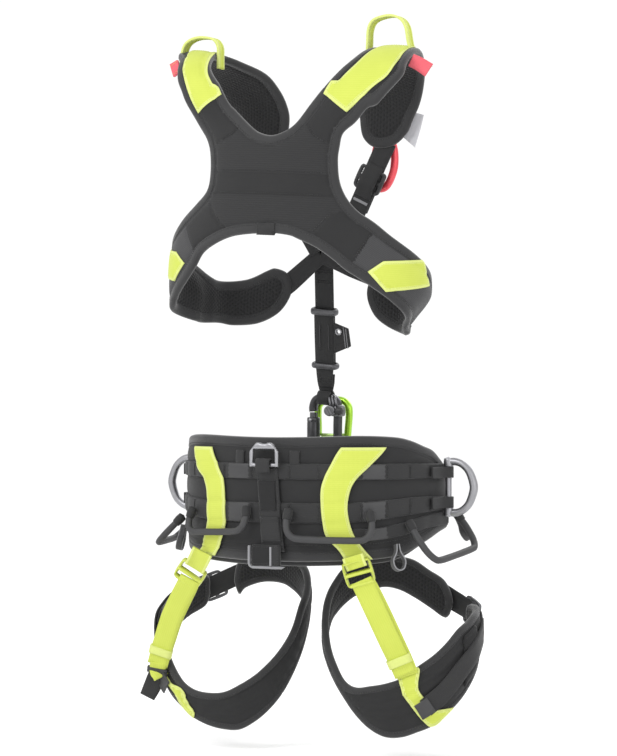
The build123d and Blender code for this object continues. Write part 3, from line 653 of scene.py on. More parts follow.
def strap(name, points, across, width, thick=WEB, paint=("webbing",), step=3.0, edge=0.0, closed=False,
          soft_path=True):
    """Flat webbing along a path; across is its width direction, one or one per given point."""
    path = smooth_path(points, step, closed) if soft_path else even(points, step)
    if closed:
        path = path[:-1]
    count = len(path)
    across = np.asarray(across, float)
    across = np.tile(across, (count, 1)) if across.ndim == 1 else spread(across, count)
    _, across, out = frames(path, across)
    widths = spread(width, count) / 2
    half = thick / 2
    marks = [-1, -0.97, -0.5, 0, 0.5, 0.97, 1]
    if edge:
        inner = 1 - edge / float(np.max(widths))
        marks = [-1, -0.97, -inner - 0.02, -inner, 0, inner, inner + 0.02, 0.97, 1]
    upper = [(m, half * (0.35 if abs(m) == 1 else 1.0)) for m in marks]
    if edge:
        upper = [(m, h + (0.0 if abs(m) < inner + 0.01 else 0.3)) for m, h in upper]
    lower = [(m, -h) for m, h in upper[::-1]]
    section = upper + lower
    m = len(section)
    points3 = np.zeros((count, m, 3))
    for j, (side, height) in enumerate(section):
        points3[:, j] = path + across * (side * widths)[:, None] + out * height
    faces, kinds = [], []
    for i in range(count if closed else count - 1):
        k = (i + 1) % count
        for j in range(m):
            l = (j + 1) % m
            faces.append((i * m + j, k * m + j, k * m + l, i * m + l))
            mid = (section[j][0] + section[l][0]) / 2
            kinds.append(1 if edge and abs(mid) > inner else 0)
    if not closed:
        faces.append(tuple(range(m)))
        faces.append(tuple((count - 1) * m + j for j in range(m))[::-1])
        kinds += [0, 0]
    s = lengths(path)
    coords = np.zeros((count, m, 2))
    coords[:, :, 0] = s[:, None]
    for j, (side, height) in enumerate(section):
        coords[:, j, 1] = side * widths
    obj = make_mesh(name, points3.reshape(-1, 3), faces, coords.reshape(-1, 2), list(paint), kinds)
    obj["strap_half"] = half
    return obj


def strap_line(points, across, offset, lift, closed=False):
    """A line on a strap's face at an offset from its middle, as (points, normals)."""
    path = smooth_path(points, 3.0, closed)
    across = np.asarray(across, float)
    across = np.tile(across, (len(path), 1)) if across.ndim == 1 else spread(across, len(path))
    _, across, out = frames(path, across)
    return path + across * offset + out * lift, out * np.sign(lift)


def tube(name, points, radius, paint, step=2.5, sides=14, closed=False, squash=1.0, up=None,
         soft_path=True):
    """Round or flattened rod along a path; radius may change from point to point."""
    path = smooth_path(points, step, closed) if soft_path else even(points, step)
    if closed:
        path = path[:-1]
    along = np.gradient(path, axis=0)
    if closed:
        along = np.roll(path, -1, axis=0) - np.roll(path, 1, axis=0)
    along = units(along)
    if up is None:
        up = np.array([0.13, 0.29, 0.95]) if abs(along[:, 2]).max() < 0.9 else np.array([0.1, 0.97, 0.2])
    a = units(np.asarray(up, float) - along * (along @ np.asarray(up, float))[:, None])
    b = np.cross(along, a)
    radii = spread(radius, len(path))
    turn = np.linspace(0, 2 * math.pi, sides, endpoint=False)
    ring = np.stack([np.cos(turn), np.sin(turn) * squash], axis=1)
    spokes = ring[None, :, :1] * a[:, None, :] + ring[None, :, 1:] * b[:, None, :]
    points3 = path[:, None, :] + spokes * radii[:, None, None]
    n, m = len(path), sides
    faces = []
    for i in range(n if closed else n - 1):
        k = (i + 1) % n
        faces += [(i * m + j, i * m + (j + 1) % m, k * m + (j + 1) % m, k * m + j) for j in range(m)]
    points3 = points3.reshape(-1, 3)
    s = lengths(path)
    coords = np.stack([np.repeat(s, m), np.tile(turn * float(np.max(radii)), n)], axis=1)
    if not closed:
        for end, i in ((-1, 0), (1, n - 1)):
            tip = len(points3)
            nose = path[i] + along[i] * end * radii[i] * 0.35
            points3 = np.vstack([points3, nose])
            coords = np.vstack([coords, coords[i * m]])
            for j in range(m):
                pair = (i * m + j, i * m + (j + 1) % m)
                faces.append((*pair[::-1], tip) if end < 0 else (*pair, tip))
    return make_mesh(name, points3, faces, coords, [paint])


def ride_all(pieces, body):
    for piece in pieces:
        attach(piece, body)


def join(name, objects):
    """One object out of several."""
    bpy.ops.object.select_all(action="DESELECT")
    for obj in objects:
        obj.select_set(True)
    bpy.context.view_layer.objects.active = objects[0]
    bpy.ops.object.join()
    objects[0].name = name
    objects[0].data.name = name
    return objects[0]


def flat_place(origin, x_dir, y_dir):
    """Surface map of a flat plane; out is x_dir cross y_dir."""
    origin = np.asarray(origin, float)
    x_dir = np.asarray(x_dir, float) / np.linalg.norm(x_dir)
    y_dir = np.asarray(y_dir, float)
    y_dir = y_dir - x_dir * (x_dir @ y_dir)
    y_dir = y_dir / np.linalg.norm(y_dir)
    normal = np.cross(x_dir, y_dir)

    def place(u, v, out):
        u, v, out = np.broadcast_arrays(np.asarray(u, float), v, out)
        return origin + u[:, None] * x_dir + v[:, None] * y_dir + out[:, None] * normal

    return place


# ---- surface maps -------------------------------------------------------------------------
class Plan:
    """Plan curve of the waist or chest, walked from the middle of the back; right is positive."""

    def __init__(self, half, back, front, back_r, side_r, front_r):
        cy = back + back_r
        side_y = cy - math.sqrt((back_r - side_r) ** 2 - (half - side_r) ** 2)
        turn = math.atan2(side_y - cy, half - side_r)
        points, normals = [], []

        def arc(cx, cyy, r, start, stop):
            for angle in np.linspace(start, stop, 160):
                normal = (math.cos(angle), math.sin(angle))
                points.append((cx + r * normal[0], cyy + r * normal[1]))
                normals.append(normal)

        arc(0, cy, back_r, -math.pi / 2, turn)
        arc(half - side_r, side_y, side_r, turn, 0)
        arc(half - front_r, front - front_r, front_r, 0, math.pi / 2)
        points.append((0, front))
        normals.append((0, 1))
        self.p = np.array(points)
        self.n = np.array(normals)
        self.s = lengths(self.p)
        self.length = self.s[-1]
        self.widest = int(np.argmax(self.p[:, 0]))

    def at(self, s, out):
        s = np.asarray(s, float)
        side = np.where(s < 0, -1.0, 1.0)
        q = np.abs(s)
        x = np.interp(q, self.s, self.p[:, 0]) + out * np.interp(q, self.s, self.n[:, 0])
        y = np.interp(q, self.s, self.p[:, 1]) + out * np.interp(q, self.s, self.n[:, 1])
        return x * side, y

    def s_back(self, x):
        """Distance along the back half for a given x."""
        w = self.widest + 1
        return np.sign(x) * np.interp(np.abs(x), self.p[:w, 0], self.s[:w])

    def s_front(self, x):
        w = self.widest
        return np.sign(x) * np.interp(-np.abs(x), -self.p[w:, 0], self.s[w:])

    def s_side(self, y):
        """Distance along the right side for a given y."""
        return np.interp(y, self.p[:, 1], self.s)


BELT = Plan(*BELT_PLAN)
CHEST = Plan(*CHEST_PLAN)


def belt_place(u, v, out):
    x, y = BELT.at(u, out)
    return np.stack([x, y, np.broadcast_to(v, x.shape)], axis=1)


def chest_turn(p):
    """From the yoke's level pose to the way it hangs."""
    x, y, z = p[..., 0], p[..., 1], p[..., 2] - CHEST_ROLL_Z
    c, s = math.cos(CHEST_ROLL), math.sin(CHEST_ROLL)
    return np.stack([x * c + z * s, y, CHEST_ROLL_Z + z * c - x * s], axis=-1)


def chest_place(u, v, out):
    """u runs round the chest, v up the back and on over the shoulder."""
    u, v = np.broadcast_arrays(np.asarray(u, float), np.asarray(v, float))
    x, y = CHEST.at(u, out - wing_taper(u, v))
    angle = np.clip((v - SHOULDER_Z) / SHOULDER_R, 0, math.pi)
    r = SHOULDER_R + out
    below = np.minimum(v - SHOULDER_Z, 0)
    beyond = np.maximum(v - SHOULDER_Z - math.pi * SHOULDER_R, 0)
    arch_y = SHOULDER_Y - r * np.cos(angle)
    arch_z = SHOULDER_Z + r * np.sin(angle) + below - beyond
    arch_x, _ = CHEST.at(u, 0.0)
    w = soft((v - 420) / 55)
    arch_z = arch_z + shoulder_raise(u, v)
    p = np.stack([x * (1 - w) + arch_x * w, y * (1 - w) + arch_y * w, v * (1 - w) + arch_z * w], axis=1)
    return chest_turn(p)


def shoulder_raise(u, v):
    """Extra height of the right shoulder's arch."""
    up = soft((v - 440) / 40)
    down = soft((v - SHOULDER_Z - math.pi * SHOULDER_R + 20) / 40)
    return SHOULDER_RAISE * up * (1 - down) * soft((u - 20) / 15)


def wing_taper(u, v):
    """How far the lower part of each side wing leans in."""
    a = np.abs(u)
    side = soft((a - 165) / 55) * (1 - soft((a - 255) / 60))
    left = 22 * soft((300 - v) / 60)
    right = 22 * soft((262 - v) / 45)
    return side * np.where(u > 0, right, left)


def leg_place(name):
    side = SIDES[name]
    mean = (LEG_RX + LEG_RY) / 2

    def place(u, v, out):
        """u is the angle from the outer side, forward, times the mean radius; v is z."""
        u, v = np.broadcast_arrays(np.asarray(u, float), np.asarray(v, float))
        angle = u / mean
        nx, ny = np.cos(angle) / LEG_RX, np.sin(angle) / LEG_RY
        size = np.hypot(nx, ny)
        x = LEG_RX * np.cos(angle) + out * nx / size
        y = LEG_Y + LEG_RY * np.sin(angle) + out * ny / size
        return np.stack([LEG_X[name] + side * x, y, v], axis=1)

    return place


# ---- chest yoke ---------------------------------------------------------------------------
def over_shoulder(z, front=False, side=-1):
    """Distance up the back and over the shoulder to a height on its arch."""
    raised = SHOULDER_RAISE if side > 0 else 0.0
    rise = SHOULDER_R * math.asin(min(1.0, max(0.0, (z - SHOULDER_Z - raised) / SHOULDER_R)))
    return SHOULDER_Z + (math.pi * SHOULDER_R - rise if front else rise)


def chest_back(points):
    """(x, z) points on the back to (u, v)."""
    return [(float(CHEST.s_back(x)), z) for x, z in points]


def chest_front(points):
    return [(float(CHEST.s_front(x)), z) for x, z in points]


def flip(points):
    return [(-u, v) for u, v in points]


SHOULDER_CREST = SHOULDER_Z + math.pi / 2 * SHOULDER_R
SHOULDER_END = SHOULDER_Z + math.pi * SHOULDER_R
SIDE_U = float(CHEST.s_side(-45.0))
# Outline of the yoke in its level pose as (x, z), with x counted outward from the middle.
YOKE = {
    "left": {
        "low_back": [(0, 318), (20, 317), (48, 313), (73, 304), (94, 292), (106, 276), (122, 258),
                     (140, 240),
                     (156, 222)],
        "low_front": [(136, 211), (114, 209), (82, 213), (56, 226), (42, 244)],
        "tip": [(38, 262), (46, 276), (62, 281), (72, 278), (99, 266), (132, 262), (150, 267)],
        "wing_top": [(162, 300), (146, 318), (127, 335), (106, 351)],
        "armhole": [(90, 366), (86, 385), (88, 409), (94, 424), (106, 440), (118, 460)],
        "back_outer": [(130, 482), (139, 496), (146, 512), (152, 524)],
        "top_outer": 166,
        "front_outer": [(162, 508), (154, 495), (141, 476)],
        "lobe": [(126, 0), (111, 29), (94, 41), (71, 42), (58, 30), (54, 0)],
        "front_inner": [(58, 481), (66, 500), (78, 517), (103, 529)],
        "top_inner": 116,
        "back_inner": [(104, 516), (81, 491), (65, 469)],
        "neck": [(54, 459), (32, 442), (18, 434), (2, 431)],
    },
    "right": {
        "low_back": [(4, 319), (28, 317), (40, 313), (60, 305), (78, 294), (95, 281), (113, 270),
                     (128, 260),
                     (142, 250), (158, 233)],
        "low_front": [(152, 212), (132, 209), (104, 213), (78, 226), (65, 244)],
        "tip": [(62, 262), (69, 275), (86, 281), (95, 277), (121, 266), (148, 262)],
        "wing_top": [(161, 304), (143, 321), (123, 337), (105, 349)],
        "armhole": [(92, 364), (84, 382), (81, 405), (82, 420), (85, 436), (98, 448), (112, 461)],
        "back_outer": [(126, 474), (143, 495), (150, 510), (148, 524)],
        "top_outer": 143,
        "front_outer": [(134, 530), (125, 506), (117, 483)],
        "lobe": [(109, 0), (102, 13), (86, 27), (62, 30), (46, 19), (40, 0)],
        "front_inner": [(38, 485), (44, 505), (56, 524), (74, 536)],
        "top_inner": 86,
        "back_inner": [(82, 530), (71, 512), (55, 488), (38, 467)],
        "neck": [(24, 443), (12, 435)],
    },
}


def yoke_half(name):
    """One half of the outline as (u, v), from the middle of the lower edge round to the neck."""
    side = SIDES[name]
    part = YOKE[name]
    back = [(x, over_shoulder(z, False, side)) for x, z in part["back_outer"]]
    front = [(x, over_shoulder(z, True, side)) for x, z in part["front_outer"]]
    lobe = [(x, SHOULDER_END + drop) for x, drop in part["lobe"]]
    front_in = [(x, over_shoulder(z, True, side)) for x, z in part["front_inner"]]
    back_in = [(x, over_shoulder(z, False, side)) for x, z in part["back_inner"]]
    shoulder = [*back, (part["top_outer"], SHOULDER_CREST), *front, *lobe, *front_in,
                (part["top_inner"], SHOULDER_CREST), *back_in]
    points = [*chest_back(part["low_back"]), (SIDE_U, 211), *chest_front(part["low_front"] + part["tip"]),
              (SIDE_U, 287), *chest_back(part["wing_top"] + part["armhole"] + shoulder + part["neck"])]
    return [(side * u, v) for u, v in points]


def yoke_outline():
    right, left = yoke_half("right"), yoke_half("left")[::-1]
    return smooth_path([*right, *left], FINE, closed=True)[:-1]


YOKE_SEAMS = {
    "top": [(40, 449), (50, 433), (66, 423), (75, 421)],
    "bottom": [(50, 314), (58, 322), (70, 335), (80, 349)],
    "wing": [(101, 287), (108, 299), (117, 315), (124, 328)],
}


def yoke_seam_lines():
    lines = []
    for points in YOKE_SEAMS.values():
        line = smooth_path(chest_back(points), FINE)
        lines += [line, line * (-1, 1)]
    for z in (362.0, 387.5):
        half = float(CHEST.s_back(74))
        lines.append(even([(-half, z), (half, z)], FINE))
    return lines


def centre_region(uv):
    """True on the ribbed middle of the back panel."""
    corners = chest_back([(0, 460), (38, 447), (52, 431), (74, 421.5), (95, 421), (95, 347), (79, 345),
                          (58, 318),
                          (50, 309), (50, 290), (0, 290)])
    return inside(uv, np.array(corners + flip(corners)[::-1]))


def wing_region(uv):
    corners = [*chest_back([(97, 278), (108, 297), (117, 313), (126, 330)]), (170, 340), (420, 340),
               (420, 190),
               (120, 190)]
    return inside(uv, np.array(corners)) | inside(uv, np.array(flip(corners)))


def yoke():
    seams = yoke_seam_lines()
    loop = yoke_outline()

    def relief(uv, gap):
        rim = bulge(gap, 4.5)
        crown = 1 - np.exp(-np.clip(gap - BINDING, 0, None) / 9)
        sewn = groove(gap - BINDING, 1.3) + 0.8 * groove(line_distance(uv, seams), 1.5) * (gap > BINDING)
        return rim, crown, sewn

    def outer(uv, gap):
        rim, crown, sewn = relief(uv, gap)
        folds = 0.35 * ripple(uv) * crown
        return -5.6 + 4.6 * rim + 1.9 * crown - 1.2 * sewn + folds

    def inner(uv, gap):
        rim, crown, _ = relief(uv, gap)
        return -5.6 - 4.0 * rim - 1.8 * crown + 1.0 * groove(gap - BINDING, 1.4)

    panel = Panel(chest_place, [loop], outer, inner,
                  rings=(1.0, 2.6, BINDING - 1.2, BINDING, BINDING + 1.4),
                  seams=seams)

    def region(uv, gap, is_inner):
        if is_inner:
            return np.where(gap < BINDING, 0, 3)
        kind = np.where(wing_region(uv), 2, 1)
        ribbed = centre_region(uv) & ~((uv[:, 1] > 362) & (uv[:, 1] < 387.5))
        kind = np.where(ribbed, 4, kind)
        return np.where(gap < BINDING, 0, kind)

    shell = panel.build("yoke_shell", ["binding", "shell", "twill", "lining", "ribbed"], region)
    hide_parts("back_panel", "shoulder_strap_left", "shoulder_strap_right", "side_wing_left",
                "side_wing_right")
    rows = edge_stitches("yoke_edge_stitches", panel, BINDING - 2.2)
    lining_rows = edge_stitches("yoke_lining_stitches", panel, BINDING - 2.2, inner=True)
    seam_rows = stitches("yoke_seam_stitches", [panel_line(panel, line[3:-3] + (0, 2.2),
                                                           0.05) for line in seams],
                         length=2.0, pitch=3.0, width=0.35)
    ride_all((shell, rows, lining_rows, seam_rows), "chest")
    return panel


def overlay(base, loops, low, high, edge=0.5, step=3.0, rings=(), swell=0.0):
    """Thin piece that lies on another panel's outer face."""
    mid, half = (low + high) / 2, (high - low) / 2

    def under(uv):
        return base.outer(uv, base.edge(uv))

    def outer(uv, gap):
        return under(uv) + mid + half * bulge(gap, edge) + swell * (1 - np.exp(-gap / 6))

    def inner(uv, gap):
        return under(uv) + mid - half * bulge(gap, edge)

    return Panel(base.place, loops, outer, inner, step, rings=(edge, *rings))


def edged(width):
    def region(uv, gap, is_inner):
        return np.where(gap < width, 1, 0)
    return region


LIME_EDGE = 4.0            # width of the pale rim of a lime piece
SHOULDER_PATCH = {
    "left": [(74, 478), (104, 455), (133, 503), (139, 515), (104, 511), (91, 493), (86, 490), (80, 487)],
    "right": [(58, 481), (89, 457), (120, 489), (138, 512), (92, 521), (76, 499), (71, 496), (65, 496)],
}
SHOULDER_PATCH_TOP = {"left": (152, 119), "right": (140, 104)}


def yoke_patches(base):
    pieces = []
    for name, side in SIDES.items():
        patch = [(x, over_shoulder(z, False, side) if z > SHOULDER_Z else z) for x,
                 z in SHOULDER_PATCH[name]]
        ends = [(x, SHOULDER_CREST - 3) for x in SHOULDER_PATCH_TOP[name]]
        patch = chest_back([*patch[:4], *ends, *patch[4:]])
        loop = outline(patch[:2], patch[1:5], patch[4:6], [*patch[5:8], patch[8]], patch[8:10],
                       [patch[9], patch[0]], step=2.6)
        wing = [*chest_back([(134, 293), (119, 280), (138, 258)]), (SIDE_U - 6, 268), (SIDE_U - 22, 298)]
        wing = outline(wing[0:2], wing[1:3], wing[2:4], wing[3:5], [wing[4], wing[0]], step=2.6)
        for kind, shape in (("shoulder", loop), ("wing", wing)):
            shape = shape * (side, 1)
            panel = overlay(base, [shape], 0.1, 1.2, rings=(LIME_EDGE,), swell=0.3)
            patch_obj = panel.build(f"{kind}_patch_{name}", ["lime", "lime_edge"], edged(LIME_EDGE))
            rows = edge_stitches(f"{kind}_patch_stitches_{name}", panel, LIME_EDGE - 0.8, "lime_thread",
                                 pitch=3.0, width=0.35, height=0.3)
            pieces += [patch_obj, rows]
    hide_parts("lime_patches")
    ride_all(pieces, "chest")


def level(points):
    """Points given in the yoke's level pose."""
    return chest_turn(np.asarray(points, float))


PULL_PATH = {
    "left": [(112, 514), (113, 528), (114, 540), (120, 548), (130, 550.5), (142, 550.5), (153, 547),
             (160, 540),
             (163, 526), (162, 512)],
    "right": [(82, 528), (82, 545), (82, 560), (86, 570), (96, 575), (110, 577), (122, 573), (129, 564),
              (133, 548), (138, 532)],
}
PULL_TAB = {
    "left": [(148, -108, 514), (153, -107, 511), (159, -105, 508)],
    "right": [(146, -95, 524), (155, -93, 520), (167, -91, 513)],
}


def pull_loops():
    handles, tabs = [], []
    for name, side in SIDES.items():
        path = level([(side * x, -72, z) for x, z in PULL_PATH[name]])
        handle = strap(f"pull_loop_{name}", path, (0, 1, 0), 15, 2.2, ("lime", "lime_edge"), edge=2.6)
        rows = [strap_line(path, (0, 1, 0), offset, 1.15 * lift) for offset in (-4.6, 4.6) for lift in (-1,
                                                                                                        1)]
        thread = stitches(f"pull_loop_stitches_{name}", rows, "lime_thread", pitch=3.2, width=0.3,
                          height=0.25)
        fold = level([(side * x, y, z) for x, y, z in PULL_TAB[name]])
        across = (side * 0.35, 0.1, 1)
        tab = strap(f"pull_tab_{name}", fold, across, (15, 16, 17), 3.6, ("red_tape",), step=1.2)
        lines = [strap_line(fold, across, offset, 1.9) for offset in (-5.4, 5.4)]
        tab_rows = stitches(f"pull_tab_stitches_{name}", lines, "lime_thread", width=0.3)
        handles.append(handle)
        tabs.append(tab)
        ride_all((handle, thread, tab, tab_rows), "chest")
    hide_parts("pull_loops")
    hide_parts("pull_tabs")


def care_label():
    place = flat_place(level([(104, 9.4, 474)])[0], level_dir((1, 0, -0.22)), level_dir((-0.25, 0.05, -1)))

    def curled(u, v, out):
        p = place(u, v, out)
        p[:, 1] += 0.0016 * u ** 2 + 0.9 * np.sin(np.asarray(v) * 0.11)
        return p

    loop = polygon((0, 0), (16, 0), (15, 40), (-3, 32), step=2.0)
    panel = plate_panel(curled, [loop], -0.25, 0.25, 0.2, 2.0)
    label = panel.build("care_label", ["label"])
    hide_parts("care_label")
    rows = stitches("care_label_stitches", [panel_line(panel, even([(1, 3), (0, 30)], 2.0))], width=0.3)
    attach(label, "chest")
    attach(rows, "chest")


def yoke_foot(base):
    """Small tab sewn over the bottom edge in the middle of the back."""
    loop = polygon((-12, 316), (12, 316), (12, 330), (-12, 330), step=2.4)
    panel = overlay(base, [loop], 0.0, 1.1, swell=0.2)
    tab = panel.build("yoke_foot_tab", ["webbing"])
    rows = edge_stitches("yoke_foot_stitches", panel, 1.8, width=0.3)
    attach(tab, "chest")
    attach(rows, "chest")


def ladder_lock(name, place, paint, wide=36.0, tall=30.0, thick=6.0, web=25.0):
    """Moulded or forged frame with two cross slots and a rounded middle bar."""
    w, h = wide / 2, tall / 2
    frame_loop = smooth_path([(-w, -h * 0.55), (-w * 0.86, -h * 0.9), (-w * 0.5, -h), (w * 0.5, -h),
                              (w * 0.86, -h * 0.9), (w, -h * 0.55), (w, h * 0.6), (w * 0.9, h * 0.94),
                              (w * 0.7, h), (-w * 0.7, h), (-w * 0.9, h * 0.94), (-w, h * 0.6)], 1.6,
                              closed=True)
    slots = []
    slot_half = web / 2 + 0.8
    for low, high in ((-h + 5.2, -2.6), (2.6, h - 4.2)):
        slots.append(polygon((-slot_half, low), (slot_half, low), (slot_half, high), (-slot_half, high),
                             step=1.6))

    def outer(uv, gap):
        bar = 0.9 * groove(uv[:, 1], 2.4) * (np.abs(uv[:, 0]) < slot_half)
        lip = 0.8 * soft((uv[:, 1] - h * 0.45) / 4)
        return -thick / 2 + (thick / 2 + thick * 0.42 + lip + bar) * bulge(gap, 2.0)

    def inner(uv, gap):
        return -thick / 2 + 0.02 - thick * 0.08 * bulge(gap, 1.5)

    panel = Panel(place, [frame_loop[:-1], *slots], outer, inner, 1.7, rings=(0.6, 1.6))
    return panel.build(name, [paint])


CHEST_WEB = {"left": ((-85, 417), (0, 297)), "right": ((74, 431), (18, 297))}
ADJUSTER_Z = {"left": 378.0, "right": 391.0}
UNDER_WEB = {"left": [(-58, 252), (-42, 264), (-26, 278)], "right": [(64, 279), (42, 286), (18, 294)]}


CHEST_WEB_Y = 3.2


def chest_strap(name):
    """Webbing from a shoulder to the sternum, with its ladder lock and tail."""
    (top_x, top_z), (low_x, low_z) = CHEST_WEB[name]
    slope = (top_x - low_x) / (top_z - low_z)
    across = level_dir((1, 0, -slope))
    z = ADJUSTER_Z[name]

    def line(*stops):
        return level([(low_x + slope * (height - low_z), CHEST_WEB_Y + out, height) for height,
                      out in stops])

    web = strap(f"chest_strap_{name}", line((top_z + 6, 1), (top_z - 16, 0), (z, 0), (340, 0), (304, 0)),
                across, 25)
    tail = line((z - 6, 2.5), (z - 20, 3.2), (z - 35, 3.4))
    tail = strap(f"chest_strap_tail_{name}", tail, across, 25, step=2.0)
    cover = line((z + 18, -1), (z + 9, -4.4), (z, -5.4), (z - 9, -5.2), (z - 20, -1.6))
    cover = strap(f"chest_strap_fold_{name}", cover, across, 22, step=1.6)
    mark = line((z - 24, -1.5), (z - 27, -1.5))
    mark = strap(f"chest_strap_mark_{name}", mark, across, 20, 0.5, ("pale_tape",), step=1.0)
    place = flat_place(line((z, 0.8))[0], -across, level_dir((slope, 0, 1)))
    lock = ladder_lock(f"shoulder_adjuster_{name}", place, "black_plastic")
    wing = level([*[(x, 3.0, height) for x, height in UNDER_WEB[name]], (-3, 5.2, 300)])
    wing = strap(f"wing_strap_{name}", wing, level_dir((0, 0, 1)), (24, 24, 22, 20))
    if name == "left":
        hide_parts("shoulder_adjusters")
        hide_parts("chest_webbing")
    ride_all((web, tail, cover, mark, lock, wing), "chest")


def chest_straps():
    for name in SIDES:
        chest_strap(name)
    place = flat_place(level([(-3, 9.2, 306)])[0], -level_dir((1, 0, 0)), level_dir((0, 0, 1)))
    loop = [(-11, -16), (11, -16), (12.5, -8), (12.5, 10), (9, 16), (-9, 16), (-12.5, 10), (-12.5, -8)]
    loop = smooth_path(loop, 2.2, closed=True)[:-1]
    panel = plate_panel(place, [loop], -1.4, 1.4, 1.2)
    patch = panel.build("sternum_patch", ["webbing"])
    ride_all((patch, edge_stitches("sternum_stitches", panel, 2.4)), "chest")


def level_dir(direction):
    """A direction given in the yoke's level pose."""
    d = np.asarray(direction, float)
    c, s = math.cos(CHEST_ROLL), math.sin(CHEST_ROLL)
    return np.array([d[0] * c + d[2] * s, d[1], d[2] * c - d[0] * s])


def red_ring():
    path = level([(61, 14, 436), (79, 14, 436), (83, 14, 408), (74, 14, 385), (61, 14, 385), (57, 14, 412)])
    ring = tube("red_ring", path, (4.6, 4.6, 4.8, 4.6, 4.6, 4.6, 4.6), "red_metal", 2.0, 14, closed=True)
    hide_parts("red_ring")
    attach(ring, "red_ring")


# ---- front strap --------------------------------------------------------------------------
STRAP_TOP = np.array([-9.5, 12.0, 300.0])
STRAP_LOW = np.array([VENTRAL_X, STEEL_Y, 128.0])


def strap_axes():
    along = STRAP_TOP - STRAP_LOW
    along /= np.linalg.norm(along)
    front = np.array([0, 1.0, 0])
    front -= along * (front @ along)
    front /= np.linalg.norm(front)
    return np.cross(front, along), front, along


def on_strap(points):
    """(across, out, along) points in the front strap's own frame."""
    across, front, along = strap_axes()
    p = np.asarray(points, float)
    return STRAP_LOW + p[:, :1] * across + p[:, 1:2] * front + p[:, 2:] * along


def slider(name, z, tall):
    """Rounded metal loop that holds two layers of the strap together."""
    _, _, along = strap_axes()
    half, deep_low, deep_high = 15.6, -4.0, 6.4
    path = [(-half, 0.8, z), (-half + 2.5, deep_low, z), (0, deep_low - 0.6, z), (half - 2.5, deep_low, z),
            (half, 0.8, z), (half - 2.5, deep_high, z), (0, deep_high + 0.3, z),
            (-half + 2.5, deep_high, z)]
    ring = tube(name, on_strap(path), 2.0, "dark_metal", 1.6, 12, closed=True, squash=1.0, up=along)
    co = np.zeros(len(ring.data.vertices) * 3)
    ring.data.vertices.foreach_get("co", co)
    co = co.reshape(-1, 3) / MM
    middle = on_strap([(0, 0, z)])[0]
    lift = (co - middle) @ along
    co += np.outer(lift * (tall / 4.0 - 1), along)
    ring.data.vertices.foreach_set("co", (co * MM).ravel())
    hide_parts(name)
    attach(ring, name)


def front_strap():
    across, front, _ = strap_axes()
    pieces = []
    back_ply = on_strap([(0, -0.2, 14), (0, -1.3, 26), (0, -1.1, 60), (0, -1.1, 107)])
    pieces.append(strap("front_strap_lower", back_ply, across, (19, 25, 26, 26)))
    loop_points = on_strap([(0, 8.1 * math.sin(a), 8.1 * math.cos(a)) for a in
                            np.linspace(0.25, 2 * math.pi - 0.25, 22)])
    pieces.append(strap("front_strap_eye", loop_points, across, 17, step=1.4))
    neck = on_strap([(0, 1.7, 8), (0, 1.5, 18), (0, 1.2, 30)])
    pieces.append(strap("front_strap_neck", neck, across, (18, 23, 25), step=1.6))
    outer_ply = on_strap([(0, 1.2, 41), (0, 1.5, 80), (0, 1.4, 140), (0, 1.3, 176)])
    pieces.append(strap("front_strap_upper", outer_ply, across, 25))
    tail = on_strap([(0, 3.8, 40), (0, 4.1, 60), (0, 4.0, 90), (0, 4.0, 110)])
    pieces.append(strap("front_strap_tail", tail, across, 25))
    # The ribs use the satin webbing, whose lighter tone is a painted glint.
    ribs = on_strap([(-5, -2.6, 61), (-5, -2.6, 93)]), on_strap([(6.5, -2.6, 61), (6.5, -2.6, 93)])
    for k, line in enumerate(ribs):
        pieces.append(tube(f"front_strap_rib_{k}", line, 0.7, "satin", 4.0, 8, soft_path=False))
    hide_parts("front_strap_lower")
    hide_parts("front_strap_upper")
    rows = [[(-10, -2.4, z), (10, -2.4, z)] for z in (20.0, 23.0, 26.0)]
    rows += [[(-11, out, z), (11, out, z)] for out in (2.8, 0.0) for z in (143.0, 146.0, 156.0, 159.0)]
    lines = []
    for row in rows:
        path = even(on_strap(row), 1.0)
        normal = front if row[0][1] > 1 else -front
        lines.append((path, np.tile(normal, (len(path), 1))))
    pieces.append(stitches("front_strap_stitches", lines, length=1.6, pitch=2.2, width=0.5, height=0.5))
    ride_all(pieces, "chest")
    slider("strap_slider_upper", 108, 8)
    slider("strap_slider_lower", 40.5, 7)


def end_tab():
    across, _, along = strap_axes()
    place = flat_place(STRAP_LOW, across, along)
    shape = polygon((13, 96), (33, 90), (36, 68), (13, 57), step=1.8)
    hole = circle(20, 85, 2.7, 2.7, 15)
    panel = plate_panel(place, [shape, hole], 0.0, 2.2, 0.6, 2.0)
    tab = panel.build("strap_end_tab", ["webbing"])
    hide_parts("strap_end_tab")
    pieces = [tab]
    for k, x in enumerate((26.5, 29.5)):
        line = even([(x, 91.0), (x + 2.6, 65.5)], 2.0)
        for label, lift in (("a", 0.1), ("b", -0.1)):
            points, _ = panel_line(panel, line, lift, inner=label == "b")
            pieces.append(strap(f"end_tab_line_{label}_{k}", points, across, 0.9, 0.5, ("pale_tape",),
                                step=3.0))
    ring = circle(20, 85, 3.5, 3.5, 16)
    for label, height in (("front", 2.6), ("back", -0.4)):
        points = place(ring[:, 0], ring[:, 1], height)
        pieces.append(tube(f"strap_eyelet_{label}", points, 0.95, "forged", 0.9, 10, closed=True))
    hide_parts("strap_eyelet")
    ride_all(pieces, "chest")


# ---- waist belt ---------------------------------------------------------------------------
BELT_END = float(BELT.s_side(8.5))
BELT_SIDE_TOP = [(-150, 84), (-146, 84.5), (-125, 86), (-97, 84.5), (-78, 81), (-54, 73.5), (-38, 69),
                 (-20, 60),
                 (-4, 50)]
BELT_SIDE_LOW = [(2, -24), (-27, -30), (-56, -39), (-82, -49), (-110, -55), (-146, -58.5), (-150, -58.5)]


def belt_side(points):
    return [(float(BELT.s_side(y)), z) for y, z in points]


